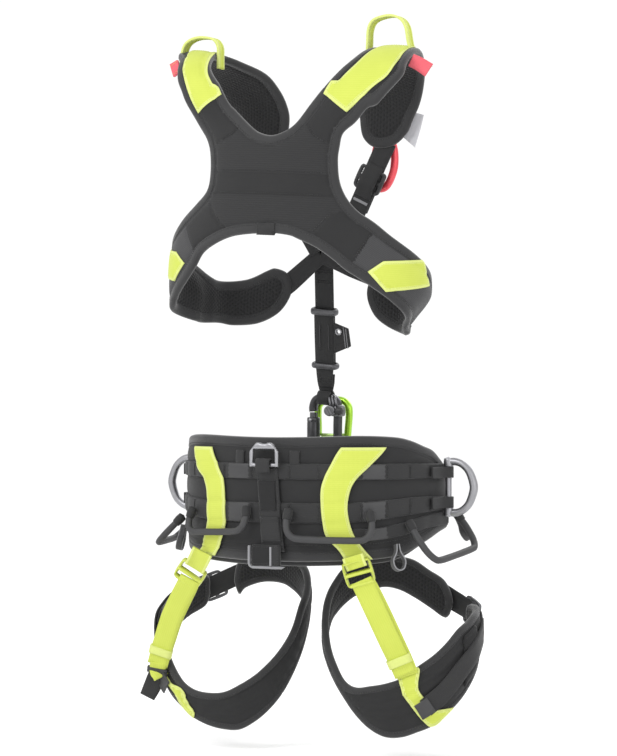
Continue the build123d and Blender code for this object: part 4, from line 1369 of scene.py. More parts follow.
def belt_outline(drop_top=0.0, drop_low=0.0):
    top = [(0, 84 - drop_top)] + [(u, z - drop_top) for u, z in belt_side(BELT_SIDE_TOP)[1:]]
    front = [(BELT_END - 2, 36 - drop_top), (BELT_END, 5), (BELT_END - 4, -20 - drop_low)]
    low = [(u, z - drop_low) for u, z in belt_side(BELT_SIDE_LOW)[:-1]] + [(0, -58.5 - drop_low)]
    right = top + front + low
    left = flip(right)[::-1]
    return smooth_path([*right[:-1], *left[:-1]], FINE, closed=True)[:-1]


def upper_band(u):
    """Low and high edge of the upper waist webbing at each u."""
    a = np.abs(u)
    narrow = soft((a - 150) / 110)
    return 36 + 2 * narrow, 54 - 2 * narrow


def lower_band(u):
    a = np.abs(u)
    rise = soft((a - 70) / 150)
    return -14 + 12 * rise, 9 + 8 * rise - 3 * soft((a - 170) / 60)


def third_band(u):
    rise = soft((u - 110) / 110)
    return -34 + 14 * rise, -20 + 16 * rise


def band_loop(edges, start, stop):
    u = np.arange(start, stop + 0.1, 3.0)
    low, high = edges(u)
    return np.vstack([np.stack([u, low], 1), even([(u[-1], low[-1]), (u[-1], high[-1])], 3.0)[1:-1],
                      np.stack([u, high], 1)[::-1], even([(u[0], high[0]), (u[0], low[0])], 3.0)[1:-1]])


def belt_shell():
    loop = belt_outline()
    seam_low = belt_side([(-149, -42), (-127, -40), (-100, -36), (-69, -28), (-30, -18)])
    seam_low = smooth_path([(0, -42), *seam_low[1:]], FINE)
    seams = [seam_low, seam_low * (-1, 1)]

    def relief(uv, gap):
        sewn = groove(gap - BINDING, 1.3) + 0.8 * groove(line_distance(uv, seams), 1.4) * (gap > BINDING)
        low, high = lower_band(uv[:, 0])
        low2, high2 = upper_band(uv[:, 0])
        pinch = sum(groove(uv[:, 1] - z, 3.0) for z in (low, high, low2, high2)) * (gap > BINDING)
        crown = 1 - np.exp(-np.clip(gap - BINDING, 0, None) / 9)
        return bulge(gap, 4.5), crown, sewn, pinch

    def outer(uv, gap):
        rim, crown, sewn, pinch = relief(uv, gap)
        return -6 + 4.6 * rim + 2.0 * crown - 1.2 * sewn - 0.9 * pinch + 0.45 * ripple(uv, 17.0) * crown

    def inner(uv, gap):
        rim, crown, _, _ = relief(uv, gap)
        return -6 - 4.6 * rim - 1.2 * crown

    panel = Panel(belt_place, [loop], outer, inner, rings=(1.0, 2.6, BINDING - 1.2, BINDING, BINDING + 1.4),
                  seams=seams)

    def region(uv, gap, is_inner):
        return np.where(gap < BINDING, 0, 1)

    shell = panel.build("belt_shell", ["binding", "shell"], region)
    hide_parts("belt_pad")
    rows = edge_stitches("belt_edge_stitches", panel, BINDING - 2.0)
    seam_rows = stitches("belt_seam_stitches", [panel_line(panel, line[2:-2] + (0, 1.8)) for line in seams],
                         length=2.0, pitch=3.0, width=0.35)
    ride_all((shell, rows, seam_rows), "belt")
    return panel


def belt_liner():
    """Softer second layer on the wearer's side; its bound lower edge shows below the shell."""
    loop = belt_outline(9.0, 5.5)

    def outer(uv, gap):
        return -14 + 1.7 * bulge(gap, 2.5)

    def inner(uv, gap):
        air = 0.5 * groove(np.mod(uv[:, 0] + 20, 40) - 20, 2.2) * (gap > BINDING)
        return -14 - 1.6 * bulge(gap, 2.5) - 0.5 * (1 - np.exp(-np.clip(gap - 9, 0, None) / 8)) + air

    panel = Panel(belt_place, [loop], outer, inner, rings=(1.0, 2.5, 9.0, 10.2))

    def region(uv, gap, is_inner):
        return np.where(gap < 9.0, 0, 1 if is_inner else 2)

    liner = panel.build("belt_liner", ["binding", "lining", "dark"], region)
    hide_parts("belt_liner")
    rows = edge_stitches("belt_liner_stitches", panel, 7.4, inner=True)
    ride_all((liner, rows), "belt")


def band_panel(base, loop, tacks, lift=1.9, swell=1.3):
    """Waist webbing that stands a little off the belt between its bar tacks."""
    tacks = np.asarray(tacks, float)

    def under(uv):
        return base.outer(uv, base.edge(uv))

    def outer(uv, gap):
        near = np.abs(uv[:, 0][:, None] - tacks).min(1)
        stand = swell * (1 - np.exp(-(near / 9) ** 2))
        return np.maximum(under(uv), -0.6) + 0.2 + lift * bulge(gap, 0.7) + stand

    def inner(uv, gap):
        return np.maximum(under(uv), -0.6) + 0.1 - 0.1 * bulge(gap, 0.7)

    return Panel(base.place, [loop], outer, inner, 3.0, rings=(0.7, 1.6))


def belt_bands(base):
    pieces = []
    reach = BELT_END - 12
    tack_u = [-205, -176, -148, -118, -62, -22, 26, 60, 74, 108, 138, 168, 200]
    for name, edges, swell in (("upper_waist_band", upper_band, 1.0),
                               ("lower_waist_band", lower_band, 0.7)):
        panel = band_panel(base, band_loop(edges, -reach, reach), tack_u, swell=swell)

        def region(uv, gap, is_inner):
            # Two bars of each band get the lighter satin webbing: a painted glint where the webbing stands
            # off the belt.
            painted_glint_bars = (np.abs(uv[:, 0] - 123) < 13) | (np.abs(uv[:, 0] + 41) < 14)
            return np.where(painted_glint_bars, 1, 0)

        pieces.append(panel.build(name, ["webbing", "satin"], region))
        rows = []
        for u in tack_u:
            low, high = edges(np.array([float(u)]))
            line = even([(u, low[0] + 1.5), (u, high[0] - 1.5)], 1.0)
            rows += [panel_line(panel, line + (shift, 0), 0.1) for shift in (-1.2, 0.0, 1.2)]
        pieces.append(stitches(name + "_tacks", rows, length=1.4, pitch=1.6, width=0.4, height=0.35))
    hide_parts("belt_webbing")
    third = band_panel(base, band_loop(third_band, 98, reach), [102, 120, 144, 170, 200], swell=0.9)

    # One bar of this band gets the lighter satin webbing: a painted glint.
    def painted_glint_bars(uv, gap, is_inner):
        return np.where(np.abs(uv[:, 0] - 125) < 13, 1, 0)

    pieces.append(third.build("side_waist_band_right", ["webbing", "satin"], painted_glint_bars))
    for k, x in enumerate((-39.0, 31.5)):
        loop = polygon((x - 6, 52), (x + 6, 52), (x + 6, 69), (x - 6, 69), step=2.4)
        tab = overlay(base, [loop], 0.2, 2.6, edge=0.6)
        pieces.append(tab.build(f"belt_tab_{k}", ["webbing"]))
    ride_all(pieces, "belt")


def belt_back(points):
    return [(float(BELT.s_back(x)), z) for x, z in points]


def lime_straps(base):
    shapes = {
        "left": ([(-113, 72), (-105, 49), (-94, 35), (-88, 21), (-88, 0), (-88, -21), (-97, -42),
                  (-106, -55)],
                 [(-77, -55), (-68, -41), (-59, -20), (-59, 0), (-59, 22), (-62, 36), (-70, 50),
                  (-81, 72)]),
        "right": ([(83, 73), (78, 65), (71.5, 52), (65, 38), (61.6, 24), (61.6, 4), (64, -17), (68, -30),
                   (80, -44),
                   (87, -55)],
                  [(115, -55), (107, -44), (98, -30), (93, -16), (90, 4), (93, 24.5), (100, 38), (112, 52),
                   (122, 65), (127, 73)]),
    }
    pieces = []
    for name, (one, other) in shapes.items():
        one, other = belt_back(one), belt_back(other)
        loop = outline(one, [one[-1], other[0]], other, [other[-1], one[0]], step=2.8)
        panel = overlay(base, [loop], 2.0, 4.6, edge=0.8, rings=(LIME_EDGE, LIME_EDGE + 0.8), swell=0.5)
        obj = panel.build(f"lime_strap_{name}", ["lime", "lime_edge"], edged(LIME_EDGE))
        rows = edge_stitches(f"lime_strap_stitches_{name}", panel, LIME_EDGE - 0.9, "lime_thread",
                             pitch=2.8,
                             width=0.38)
        pieces += [obj, rows]
    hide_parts("lime_straps")
    ride_all(pieces, "belt")


def centre_strap(base):
    pieces = []
    edge_a, edge_b = [(-15, 50), (-8, -47)], [(20, -47), (12, 50)]
    loop = outline(edge_a, [edge_a[1], edge_b[0]], edge_b, [edge_b[1], edge_a[0]], step=2.8)
    strap_panel = overlay(base, [loop], 2.4, 5.0, edge=0.8, rings=(2.0,))
    pieces.append(strap_panel.build("centre_strap", ["webbing"]))
    pieces.append(edge_stitches("centre_strap_stitches", strap_panel, 1.8))
    patch = polygon((-12.0, 35), (-9.2, 0), (11.5, 0), (9.5, 35), step=2.4)
    pieces.append(overlay(strap_panel, [patch], 0.1, 1.5, edge=0.9, step=2.2).build("centre_strap_pile",
                                                                                    ["pile"]))
    low = polygon((-9.4, -7), (-6.8, -36), (17.4, -36), (14.4, -7), step=2.4)
    low_panel = overlay(strap_panel, [low], 0.1, 1.3, edge=0.6, step=2.4)
    pieces.append(low_panel.build("centre_strap_patch", ["webbing"]))
    pieces.append(edge_stitches("centre_strap_patch_stitches", low_panel, 1.8, length=1.8, pitch=2.6))
    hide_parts("centre_strap")
    fold = [(0, -3.6, -9), (0, -4.6, 0), (0, -4.1, 4.5), (0, -1.0, 6.0), (0, 3.2, 5.0), (0, 5.0, 0),
            (0, 5.2, -8)]
    points = np.array(fold) + (-2.5, -159, 53)
    pieces.append(strap("centre_strap_fold", points, (1, 0, 0), 18, 1.8, ("webbing",), step=1.6))
    ride_all(pieces, "belt")


def rear_ring():
    place = flat_place((-2.5, -159, 53), (1, 0, 0), (0, 0, 1))
    shape = outline([(-18.5, -3), (18.5, -3)], [(18.5, -3), (18.5, 15)], [(18.5, 15), (10, 25)],
                    [(10, 25), (4, 25)],
                    [(4, 25), (3, 24), (-3, 24), (-4, 25)], [(-4, 25), (-10, 25)], [(-10, 25), (-18.5, 15)],
                    [(-18.5, 15), (-18.5, -3)], step=1.8)
    hole = polygon((-13.5, 2), (13.5, 2), (13.5, 17), (-13.5, 17), step=1.8)

    def outer(uv, gap):
        return 2.2 * bulge(gap, 1.6) + 0.35 * groove(gap - 2.4, 0.8)

    def inner(uv, gap):
        return -2.2 * bulge(gap, 1.6)

    ring = Panel(place, [shape, hole], outer, inner, 1.6, rings=(0.5, 1.3)).build("rear_ring", ["forged"])
    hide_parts("rear_ring")
    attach(ring, "rear_ring")


def keeper():
    """Bent grey plate in a textile sleeve below the centre strap."""
    place = flat_place((-1, -158, -52), (1, 0, 0), (0, 0, 1))
    pieces = []
    sleeve = polygon((-17, -11), (-17, 13), (19, 13), (19, -11), step=2.2)

    def outer(uv, gap):
        return 0.4 + 3.2 * bulge(gap, 1.4) - 0.7 * groove(uv[:, 0] - 6.5, 1.0)

    def inner(uv, gap):
        return 0.3 - 3.0 * bulge(gap, 1.4)

    panel = Panel(place, [sleeve], outer, inner, 2.2, rings=(0.5, 1.4))

    def region(uv, gap, is_inner):
        return np.where(uv[:, 0] > 8.5, 1, 0)

    pieces.append(panel.build("keeper_sleeve", ["dark", "webbing"], region))
    pieces.append(edge_stitches("keeper_sleeve_stitches", panel, 2.2, width=0.3))
    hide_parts("keeper_sleeve")
    bend = outline([(-22, 12), (-22, -9)], [(-22, -9), (-20, -12.5), (-16, -14.5)],
                   [(-16, -14.5), (21, -14.5)],
                   [(21, -14.5), (26, -11.5)], [(26, -11.5), (17, -11.2)], [(17, -11.2), (-17, -11.2)],
                   [(-17, -11.2), (-18.6, -9), (-18.8, -6)], [(-18.8, -6), (-18.8, 12)],
                   [(-18.8, 12), (-22, 12)],
                   step=1.6)
    pieces.append(plate_panel(place, [bend], -0.6, 3.2, 0.9, 1.6).build("keeper_plate", ["pale_tape"]))
    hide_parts("keeper_plate")
    side = polygon((6.8, 11), (9.4, 11), (9.4, -11), (6.8, -11), step=1.6)
    pieces.append(plate_panel(place, [side], 3.4, 4.4, 0.4, 1.4).build("keeper_edge", ["pale_tape"]))
    ride_all(pieces, "belt")


def gear_loop(name, a, b, lean, drop, skew=0.0):
    """Stiff sleeve over cord; its ends run up into tunnels of the belt webbing."""
    a, b = np.array(a, float), np.array(b, float)
    span = b - a
    wide = np.linalg.norm(span)
    span = span / wide
    outward = np.array([span[1], -span[0], 0])
    outward /= np.linalg.norm(outward)
    down = np.array([0, 0, -math.cos(math.radians(lean))]) + outward * math.sin(math.radians(lean))
    flare = 6.0
    flat = [(0, 0), (-flare * 0.35, drop * 0.35), (-flare * 0.1, drop * 0.72), (flare * 0.9, drop * 0.94),
            (flare + 9, drop), (wide / 2, drop + skew / 2 + 0.5), (wide - flare - 9, drop + skew),
            (wide - flare * 0.9, (drop + skew) * 0.94), (wide + flare * 0.1, (drop + skew) * 0.72),
            (wide + flare * 0.35, (drop + skew) * 0.35), (wide, 0)]
    points = [a + span * x + down * y for x, y in flat]
    radii = (3.6, 4.0, 4.0, 4.0, 4.0, 3.9, 4.0, 4.0, 4.0, 4.0, 3.6)
    loop = tube(name, points, radii, "tube", 2.2, 16)
    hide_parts(name)
    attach(loop, name)
    for k, (tip, nxt) in enumerate(((points[0], points[1]), (points[-1], points[-2]))):
        aim = (nxt - tip) / np.linalg.norm(nxt - tip)
        collar = tube(f"{name}_collar_{k}", [tip - aim * 3, tip + aim * 3, tip + aim * 9], (5.2, 5.6, 4.9),
                      "webbing",
                      1.5, 14)
        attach(collar, name)


def gear_loops():
    gear_loop("gear_loop_rear_left", (-112, -129.5, -3), (-27, -157, 1), 16, 26)
    gear_loop("gear_loop_rear_right", (27.5, -157, -1), (116.5, -126.5, -3), 16, 31)
    gear_loop("gear_loop_side_left", (-168, 6, -8), (-149.2, -89, -15), 45, 50, -6)
    gear_loop("gear_loop_side_right", (149.2, -89, -15), (168, 6, -8), 38, 53, -5)


def accessory_loop(name, top, length, turn, lean):
    """Teardrop of narrow tape with pale edges."""
    turn, lean = math.radians(turn), math.radians(lean)
    x_dir = np.array([math.cos(turn), math.sin(turn), 0])
    out = np.array([math.sin(turn), -math.cos(turn), 0])
    down = np.array([0, 0, -math.cos(lean)]) + out * math.sin(lean)
    width = np.cross(x_dir, down)
    half = 7.6
    flat = [(-1.4, 0), (-2.6, length * 0.3), (-half, length * 0.62), (-half * 0.75, length * 0.9),
            (0, length),
            (half * 0.75, length * 0.9), (half, length * 0.62), (2.6, length * 0.3), (1.4, 0)]
    points = [np.array(top, float) + x_dir * x + down * y for x, y in flat]
    body = strap(name, points, width, 7.0, 1.8, ("cord",), step=1.6)
    rims = []
    for k, side in enumerate((-1, 1)):
        edge = [p + width * side * 3.5 for p in points]
        rims.append(tube(f"{name}_edge_{k}", edge, 0.75, "pale_tape", 1.8, 8))
    ride_all((body, *rims), "belt")
    return body


def accessory_loops():
    first = accessory_loop("accessory_loop_right", (138, -101, -38), 30, 51, 12)
    accessory_loop("accessory_loop_side", (164, 20, -13), 28, 90, 28)
    accessory_loop("accessory_loop_left", (-159, -63, -25), 30, -72, 12)
    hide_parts("accessory_loops")


def side_d_rings():
    first = None
    for name, side in SIDES.items():
        x, y = side * 168.0, -20.0
        bow = [(x, y, 54.5), (x + side * 9, y, 54.6), (x + side * 17, y, 52), (x + side * 25.5, y, 44),
               (x + side * 31, y, 30), (x + side * 31, y, 20), (x + side * 25.5, y, 6),
               (x + side * 17, y, -2),
               (x + side * 9, y, -4.6), (x, y, -4.5)]
        radii = (4.6, 4.4, 4.4, 4.6, 4.9, 4.9, 4.6, 4.4, 4.4, 4.6)
        ring = tube(f"d_ring_{name}", bow, radii, "forged", 1.8, 20, squash=1.0, up=(0, 1, 0))
        bar = tube(f"d_ring_bar_{name}", [(x, y, -7), (x, y, 25), (x, y, 57)], 3.5, "forged", 3.0, 16)
        eyes = [tube(f"d_ring_eye_{name}_{k}", [(x, y, z - 5), (x, y, z), (x, y, z + 5)], (5.4, 5.9, 5.4),
                     "forged",
                     1.4, 18) for k, z in enumerate((-3.4, 53.4))]
        ring = join(f"d_ring_{name}", [ring, bar, *eyes])
        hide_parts("d_ring_" + name)
        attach(ring, "d_ring_" + name)
        for k, (low, high) in enumerate(((1, 14), (36, 49))):
            mid = (low + high) / 2
            wrap = [(x - side * 5.4, y - 36, mid), (x - side * 2.0, y - 16, mid),
                    (x + side * 3.6, y - 5, mid),
                    (x + side * 5.0, y, mid), (x + side * 3.4, y + 3.9, mid), (x, y + 5.0, mid),
                    (x - side * 3.4, y + 3.8, mid), (x - side * 4.9, y, mid),
                    (x - side * 3.4, y - 3.8, mid)]
            fold = strap(f"d_ring_fold_{name}_{k}", wrap, (0, 0, 1), high - low, 1.9, ("webbing",),
                         step=1.5)
            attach(fold, "belt")
            first = first or fold
    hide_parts("d_ring_anchors")


# ---- front of the waist and connectors ----------------------------------------------------
VENTRAL_LOOP = [(45.3, 12), (45.2, 30), (48, 37), (56, 38.4), (68, 38.0), (75, 34.5), (75.8, 24), (75.8, 0),
                (75, -11), (68, -15), (56, -15.4), (48, -14), (45.2, -7)]


def waist_front():
    y = 42.8
    pieces = []
    bend = [(153.5, 15), (152, 24), (145, 33), (132, 40), (114, y)]
    left = [(-x, yy, 13.5) for x, yy in [*bend, (60, y), (-9, y)]]
    pieces.append(strap("waist_strap_left", left, (0, 0, 1), 45, 2.4, ("webbing",)))
    right = [(x, yy, 13.5) for x, yy in [*bend, (92, y), (70, y)]]
    pieces.append(strap("waist_strap_right", right, (0, 0, 1), 45, 2.4, ("webbing",)))
    rows = [strap_line(line, (0, 0, 1), offset, lift * 1.25) for line in (left, right)
            for offset in (-19.5, 19.5) for lift in (-1, 1)]
    pieces.append(stitches("waist_strap_stitches", rows, pitch=3.6))
    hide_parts("waist_straps")
    loop = [(VENTRAL_X, depth, z) for depth, z in VENTRAL_LOOP]
    pieces.append(strap("ventral_loop", loop, (1, 0, 0), 16.5, 2.4, ("webbing",), closed=True))
    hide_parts("ventral_loop")
    ride_all(pieces, "belt")
    paints = {"waist_buckle_frame": "dark_metal", "waist_buckle_tongue": "clamp",
              "buckle_button_high": "clamp",
              "buckle_button_low": "clamp"}
    for node, paint in paints.items():
        carry(node, paint)


def carry(node, paint):
    """A CAD piece whose shape is right: it keeps its mesh and gets a better material."""
    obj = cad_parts[node]
    obj.data.materials.clear()
    obj.data.materials.append(MATERIALS[paint])


def i_beam(count=28, long=6.2, short=4.6):
    """Section of a forged connector: rounded with a shallow channel down each side."""
    turn = np.linspace(0, 2 * math.pi, count, endpoint=False)
    dent = 0.86 + 0.14 * np.abs(np.cos(turn)) ** 1.5
    return np.stack([np.cos(turn) * long, np.sin(turn) * short * dent], axis=1)


def forged_rod(name, points, paint, section, step=2.0, closed=False):
    """Rod in the x-z plane whose section keeps one axis along y."""
    path = smooth_path(points, step, closed)
    if closed:
        path = path[:-1]
    along = units(np.gradient(path, axis=0))
    y_dir = np.tile(np.array([0, 1.0, 0]), (len(path), 1))
    flat = units(np.cross(along, y_dir))
    return section_sweep(name, path, y_dir, flat, section, np.linspace(0, 34, len(section)), [paint],
                         closed=closed)


def steel_connector():
    y = STEEL_Y
    x0, x1 = VENTRAL_X - 16.5, VENTRAL_X + 16.5
    points = [(x0, y, 41), (x0, y, 35), (x0 + 4, y, 29.5), (VENTRAL_X - 6, y, 28), (VENTRAL_X + 6, y, 28),
              (x1 - 4, y, 29.5), (x1, y, 35), (x1, y, 60), (x1 - 0.3, y, 90), (x1, y, 116),
              (x1 - 3, y, 124.5),
              (VENTRAL_X + 6, y, 128), (VENTRAL_X - 6, y, 128), (x0 + 3, y, 124.5), (x0, y, 117),
              (x0, y, 111)]
    body = forged_rod("steel_connector_body", points, "steel", i_beam(28, 5.6, 6.0))
    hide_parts("steel_connector_body")
    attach(body, "belt")
    carry("steel_connector_gate", "steel")
    steel_sleeve(x0, y)
    clamp_pieces(x1, y)


def steel_sleeve(x0, y):
    """Knurled locking sleeve round the gate, with its pin."""
    low, high, r = 58.0, 104.0, 8.2
    count = 48
    turn = np.linspace(0, 2 * math.pi, count, endpoint=False)
    facets = 1 - 0.055 * np.abs(np.sin(turn * 4)) ** 3
    z_steps = [(low, 0.55), (low, 0.86), (low + 1.2, 0.97), (low + 3, 1.0), (low + 4, 0.95),
               (low + 5, 0.95),
               (low + 6, 1.0), (high - 7, 1.0), (high - 6, 0.95), (high - 5, 0.95), (high - 4, 1.0),
               (high - 1.2, 0.97), (high, 0.86), (high, 0.55)]
    points, coords, faces = [], [], []
    for z, size in z_steps:
        ring = r * size * (facets if size == 1.0 else np.ones(count))
        if size == 0.55:
            ring = np.full(count, 4.7)
        for k in range(count):
            points.append((x0 + ring[k] * math.cos(turn[k]), y + ring[k] * math.sin(turn[k]), z))
            coords.append((turn[k] * r, z))
    for i in range(len(z_steps) - 1):
        for k in range(count):
            l = (k + 1) % count
            faces.append((i * count + k, i * count + l, (i + 1) * count + l, (i + 1) * count + k))
    for k in range(count):
        l = (k + 1) % count
        last = (len(z_steps) - 1) * count
        faces.append((last + k, last + l, l, k))
    sleeve = make_mesh("steel_connector_sleeve", points, faces, coords, ["steel"])
    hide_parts("steel_connector_sleeve")
    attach(sleeve, "steel_sleeve")
    pin = tube("sleeve_pin", [(x0 - 0.5, y - 7.2, 101), (x0 - 0.5, y - 8.6, 101), (x0 - 0.5, y - 9.2, 101)],
               (2.0, 2.2, 1.7), "forged", 0.7, 14)
    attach(pin, "steel_sleeve")


def clamp_pieces(x1, y):
    """Small clamp on the connector's upper corner: collar, disc, knob and three ribs."""
    collar = tube("clamp_collar", [(x1, y, 106), (x1, y, 107.5), (x1, y, 116.5), (x1, y, 118)],
                  (8.4, 9.4, 9.4, 8.4), "clamp", 1.4, 28)
    disc_place = flat_place((x1 - 5.5, y - 12.4, 112), (1, 0, 0), (0, 0, 1))
    disc = circle(0, 0, 7.4, 6.6, 32)

    def outer(uv, gap):
        slots = groove(uv[:, 0] + uv[:, 1] * 0.6 - 1.6, 0.6) + groove(uv[:, 0] + uv[:, 1] * 0.6 + 2.2, 0.6)
        return 1.8 * bulge(gap, 1.2) - 0.6 * slots * (gap > 1.4)

    def inner(uv, gap):
        return -3.8 * bulge(gap, 0.8)

    face = Panel(disc_place, [disc], outer, inner, 1.0, rings=(0.4, 1.0)).build("clamp_disc", ["clamp"])
    knob = tube("clamp_knob", [(x1 + 3, y - 10.5, 112), (x1 + 5, y - 10.5, 112), (x1 + 9.5, y - 10.5, 112),
                               (x1 + 11, y - 10.5, 112)], (4.2, 5.0, 5.0, 4.0), "black_plastic", 1.0, 20)
    ribs = []
    for k in range(3):
        x = x1 - 5.5 + k * 4.0
        path = [(x, y - 7, 116), (x - 0.5, y - 9.4, 121), (x - 2.0, y - 8.4, 127),
                (x - 5.0, y - 5.2, 130.5)]
        ribs.append(tube(f"clamp_rib_{k}", path, (1.5, 1.6, 1.5, 1.1), "clamp", 1.2, 12))
    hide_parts("connector_clamp")
    ride_all((collar, face, knob, *ribs), "belt")


def alloy_connector():
    y = ALLOY_Y
    points = [(-42.6, y, 37), (-42.4, y, 31), (-38, y, 25), (-30, y, 24), (-20, y, 24), (-12, y, 26.5),
              (-8, y, 34),
              (-5, y, 60), (-3, y, 84), (-1, y, 108), (-2.5, y, 118), (-9, y, 124), (-22, y, 125.5),
              (-35, y, 124),
              (-42, y, 118), (-43.4, y, 108), (-43, y, 94), (-43, y, 81)]
    body = forged_rod("alloy_connector_body", points, "lime_metal", i_beam(28, 4.3, 5.0))
    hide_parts("alloy_connector_body")
    gate = tube("alloy_connector_gate", [(-42.6, y, 39.5), (-42.6, y, 42), (-42.9, y, 60), (-43, y, 75),
                                         (-43, y, 78)],
                (3.4, 3.9, 3.9, 3.9, 3.4), "pale_lime_metal", 1.8, 18)
    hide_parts("alloy_connector_gate")
    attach(gate, "alloy_gate")
    bar = tube("captive_bar", [(-38.5, y, 82), (-22, y, 82.2), (-7.5, y, 82)], (2.3, 1.6, 2.3),
               "pale_lime_metal",
               1.6, 12)
    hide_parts("captive_bar")
    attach(body, "alloy_connector")
    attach(bar, "alloy_connector")


# ---- leg loops ----------------------------------------------------------------------------
LEG_MEAN = (LEG_RX + LEG_RY) / 2
LEG_GAP = (46.0, 66.0)
# Height of each loop's edges at angles from its outer side, counted forward.
LEG_TOP = {
    "left": [(18, -105), (38, -95), (46, -84), (58, -75), (90, -62), (125, -66), (150, -84), (182, -118),
             (189, -137), (209, -171), (228, -197), (252, -220), (273, -223), (289, -214), (306, -191),
             (330, -155),
             (350, -128)],
    "right": [(48, -108), (60, -102), (82, -84), (101, -66), (130, -58), (160, -76), (190, -112),
              (220, -165),
              (248, -207), (262, -205), (279, -199.5), (292, -192), (304, -178), (322, -160), (336, -140),
              (360, -124)],
}
LEG_LOW = {
    "left": [(31, -140), (51, -137), (64, -127), (76, -108), (92, -100), (109, -102), (122, -109),
             (163, -135),
             (182, -174), (205, -220), (225, -251), (243, -265), (260, -265), (277, -256), (289, -244),
             (306, -228),
             (330, -198), (355, -168)],
    "right": [(9, -186), (36, -160), (63, -140), (74, -136), (91, -121), (108, -105), (123, -101),
              (150, -112),
              (185, -142), (219, -183), (245, -222), (262, -249), (277, -261.5), (293, -261), (315, -248),
              (339, -222)],
}


def leg_edge(table, degrees):
    """Height of a leg loop's edge at an angle from the outer side."""
    angles, heights = zip(*table)
    return np.interp(np.mod(degrees, 360), angles, heights, period=360)


def leg_uv(degrees, z):
    return math.radians(degrees) * LEG_MEAN, z


def leg_share(name, uv):
    """0 at the lower edge of the band, 1 at its upper edge."""
    degrees = np.degrees(uv[:, 0] / LEG_MEAN)
    low, high = leg_edge(LEG_LOW[name], degrees), leg_edge(LEG_TOP[name], degrees)
    return (uv[:, 1] - low) / (high - low)


def leg_outline(name):
    turns = np.arange(LEG_GAP[1] + 9, 360 + LEG_GAP[0] - 8, 12.0)
    top = [leg_uv(t, leg_edge(LEG_TOP[name], t)) for t in turns]
    low = [leg_uv(t, leg_edge(LEG_LOW[name], t)) for t in turns[::-1]]
    end, start = 360 + LEG_GAP[0], LEG_GAP[1]
    high, deep = leg_edge(LEG_TOP[name], end), leg_edge(LEG_LOW[name], end)
    end_mid = [leg_uv(end - 2, high - 9), leg_uv(end, high - 28), leg_uv(end, deep + 20),
               leg_uv(end - 4, deep + 6)]
    high, deep = leg_edge(LEG_TOP[name], start), leg_edge(LEG_LOW[name], start)
    start_mid = [leg_uv(start + 4, deep + 6), leg_uv(start, deep + 22), leg_uv(start, high - 26),
                 leg_uv(start + 2, high - 9)]
    return smooth_path([*top, *end_mid, *low, *start_mid], FINE, closed=True)[:-1]


LEG_CHANNELS = (0.34, 0.5, 0.66, 0.8)


def leg_shell(name):
    loop = leg_outline(name)

    def outer(uv, gap):
        rim = bulge(gap, 4.5)
        crown = 1 - np.exp(-np.clip(gap - 8, 0, None) / 8)
        share = leg_share(name, uv)
        degrees = np.degrees(uv[:, 0] / LEG_MEAN)
        fade = soft((degrees - 130) / 40) * soft((375 - degrees) / 30)
        sewn = sum(groove((share - c) * 60, 2.0) for c in LEG_CHANNELS) * fade * (gap > 9)
        folds = 0.5 * ripple(uv, 15) * crown
        return -6 + 4.6 * rim + 1.8 * crown - 1.6 * sewn - 1.0 * groove(gap - 8, 1.2) + folds

    def inner(uv, gap):
        crown = 1 - np.exp(-np.clip(gap - 8, 0, None) / 8)
        return -6 - 4.4 * bulge(gap, 4.5) - 1.4 * crown + 0.9 * groove(gap - 8, 1.2)

    panel = Panel(leg_place(name), [loop], outer, inner, rings=(1.0, 2.6, 7.0, 8.0, 9.2))

    def region(uv, gap, is_inner):
        return np.where(gap < 8, 0, 2 if is_inner else 1)

    shell = panel.build("leg_shell_" + name, ["binding", "shell", "lining"], region)
    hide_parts("leg_pad_" + name)
    rows = edge_stitches("leg_edge_stitches_" + name, panel, 6.4)
    inner_rows = edge_stitches("leg_lining_stitches_" + name, panel, 6.4, inner=True)
    ride_all((shell, rows, inner_rows), "leg_" + name)
    return panel


KEEPER_TURN = (341, 17)    # where the outer keeper starts on the leg loop, and its width, in degrees


def leg_point(name, place, degrees, share, out):
    """Point over a leg loop's face; share is 0 at its lower edge and 1 at its upper edge."""
    low, high = leg_edge(LEG_LOW[name], degrees), leg_edge(LEG_TOP[name], degrees)
    u, z = leg_uv(degrees, low + (high - low) * share)
    return place(np.array([u]), np.array([float(z)]), np.array([float(out)]))[0]


def leg_strap(piece, at, stops, width):
    """Webbing along a leg loop through (degrees, share, out) stops."""
    across = [at(d, 0.8, 1) - at(d, 0.3, 1) for d, _, _ in stops]
    return strap(piece, [at(*stop) for stop in stops], across, width)


def leg_lock(name, at):
    """Ladder lock in the gap of a leg loop, its bars across the webbing."""
    centre, side_dir = at(50, 0.53, 4.4), at(56, 0.53, 4.4) - at(44, 0.53, 4.4)
    up_dir = at(50, 0.8, 4.4) - at(50, 0.3, 4.4)
    flat = flat_place(centre, side_dir, up_dir)
    outward = flat(np.zeros(1), np.zeros(1), np.ones(1))[0] - centre
    if np.dot(outward, centre - at(50, 0.53, 0)) < 0:
        flat = flat_place(centre, -side_dir, up_dir)

    def turned(u, v, out):
        return flat(np.asarray(v), -np.asarray(u), out)

    return ladder_lock(f"leg_adjuster_{name}", turned, "dark_metal", 34, 30, 5.0)


def leg_keeper(name, panel):
    """Band sewn over the outer side of a leg loop."""
    share = polygon((0, 0.18), (0, 0.88), (1, 0.88), (1, 0.18), step=0.05)
    degrees = KEEPER_TURN[0] + KEEPER_TURN[1] * share[:, 0]
    low, high = leg_edge(LEG_LOW[name], degrees), leg_edge(LEG_TOP[name], degrees)
    loop = np.stack([np.radians(degrees) * LEG_MEAN, low + (high - low) * share[:, 1]], axis=1)
    loop = even(np.vstack([loop, loop[:1]]), 2.6)[:-1]
    return overlay(panel, [loop], 0.4, 3.0, edge=0.9, swell=1.0).build(f"leg_keeper_{name}", ["dark"])


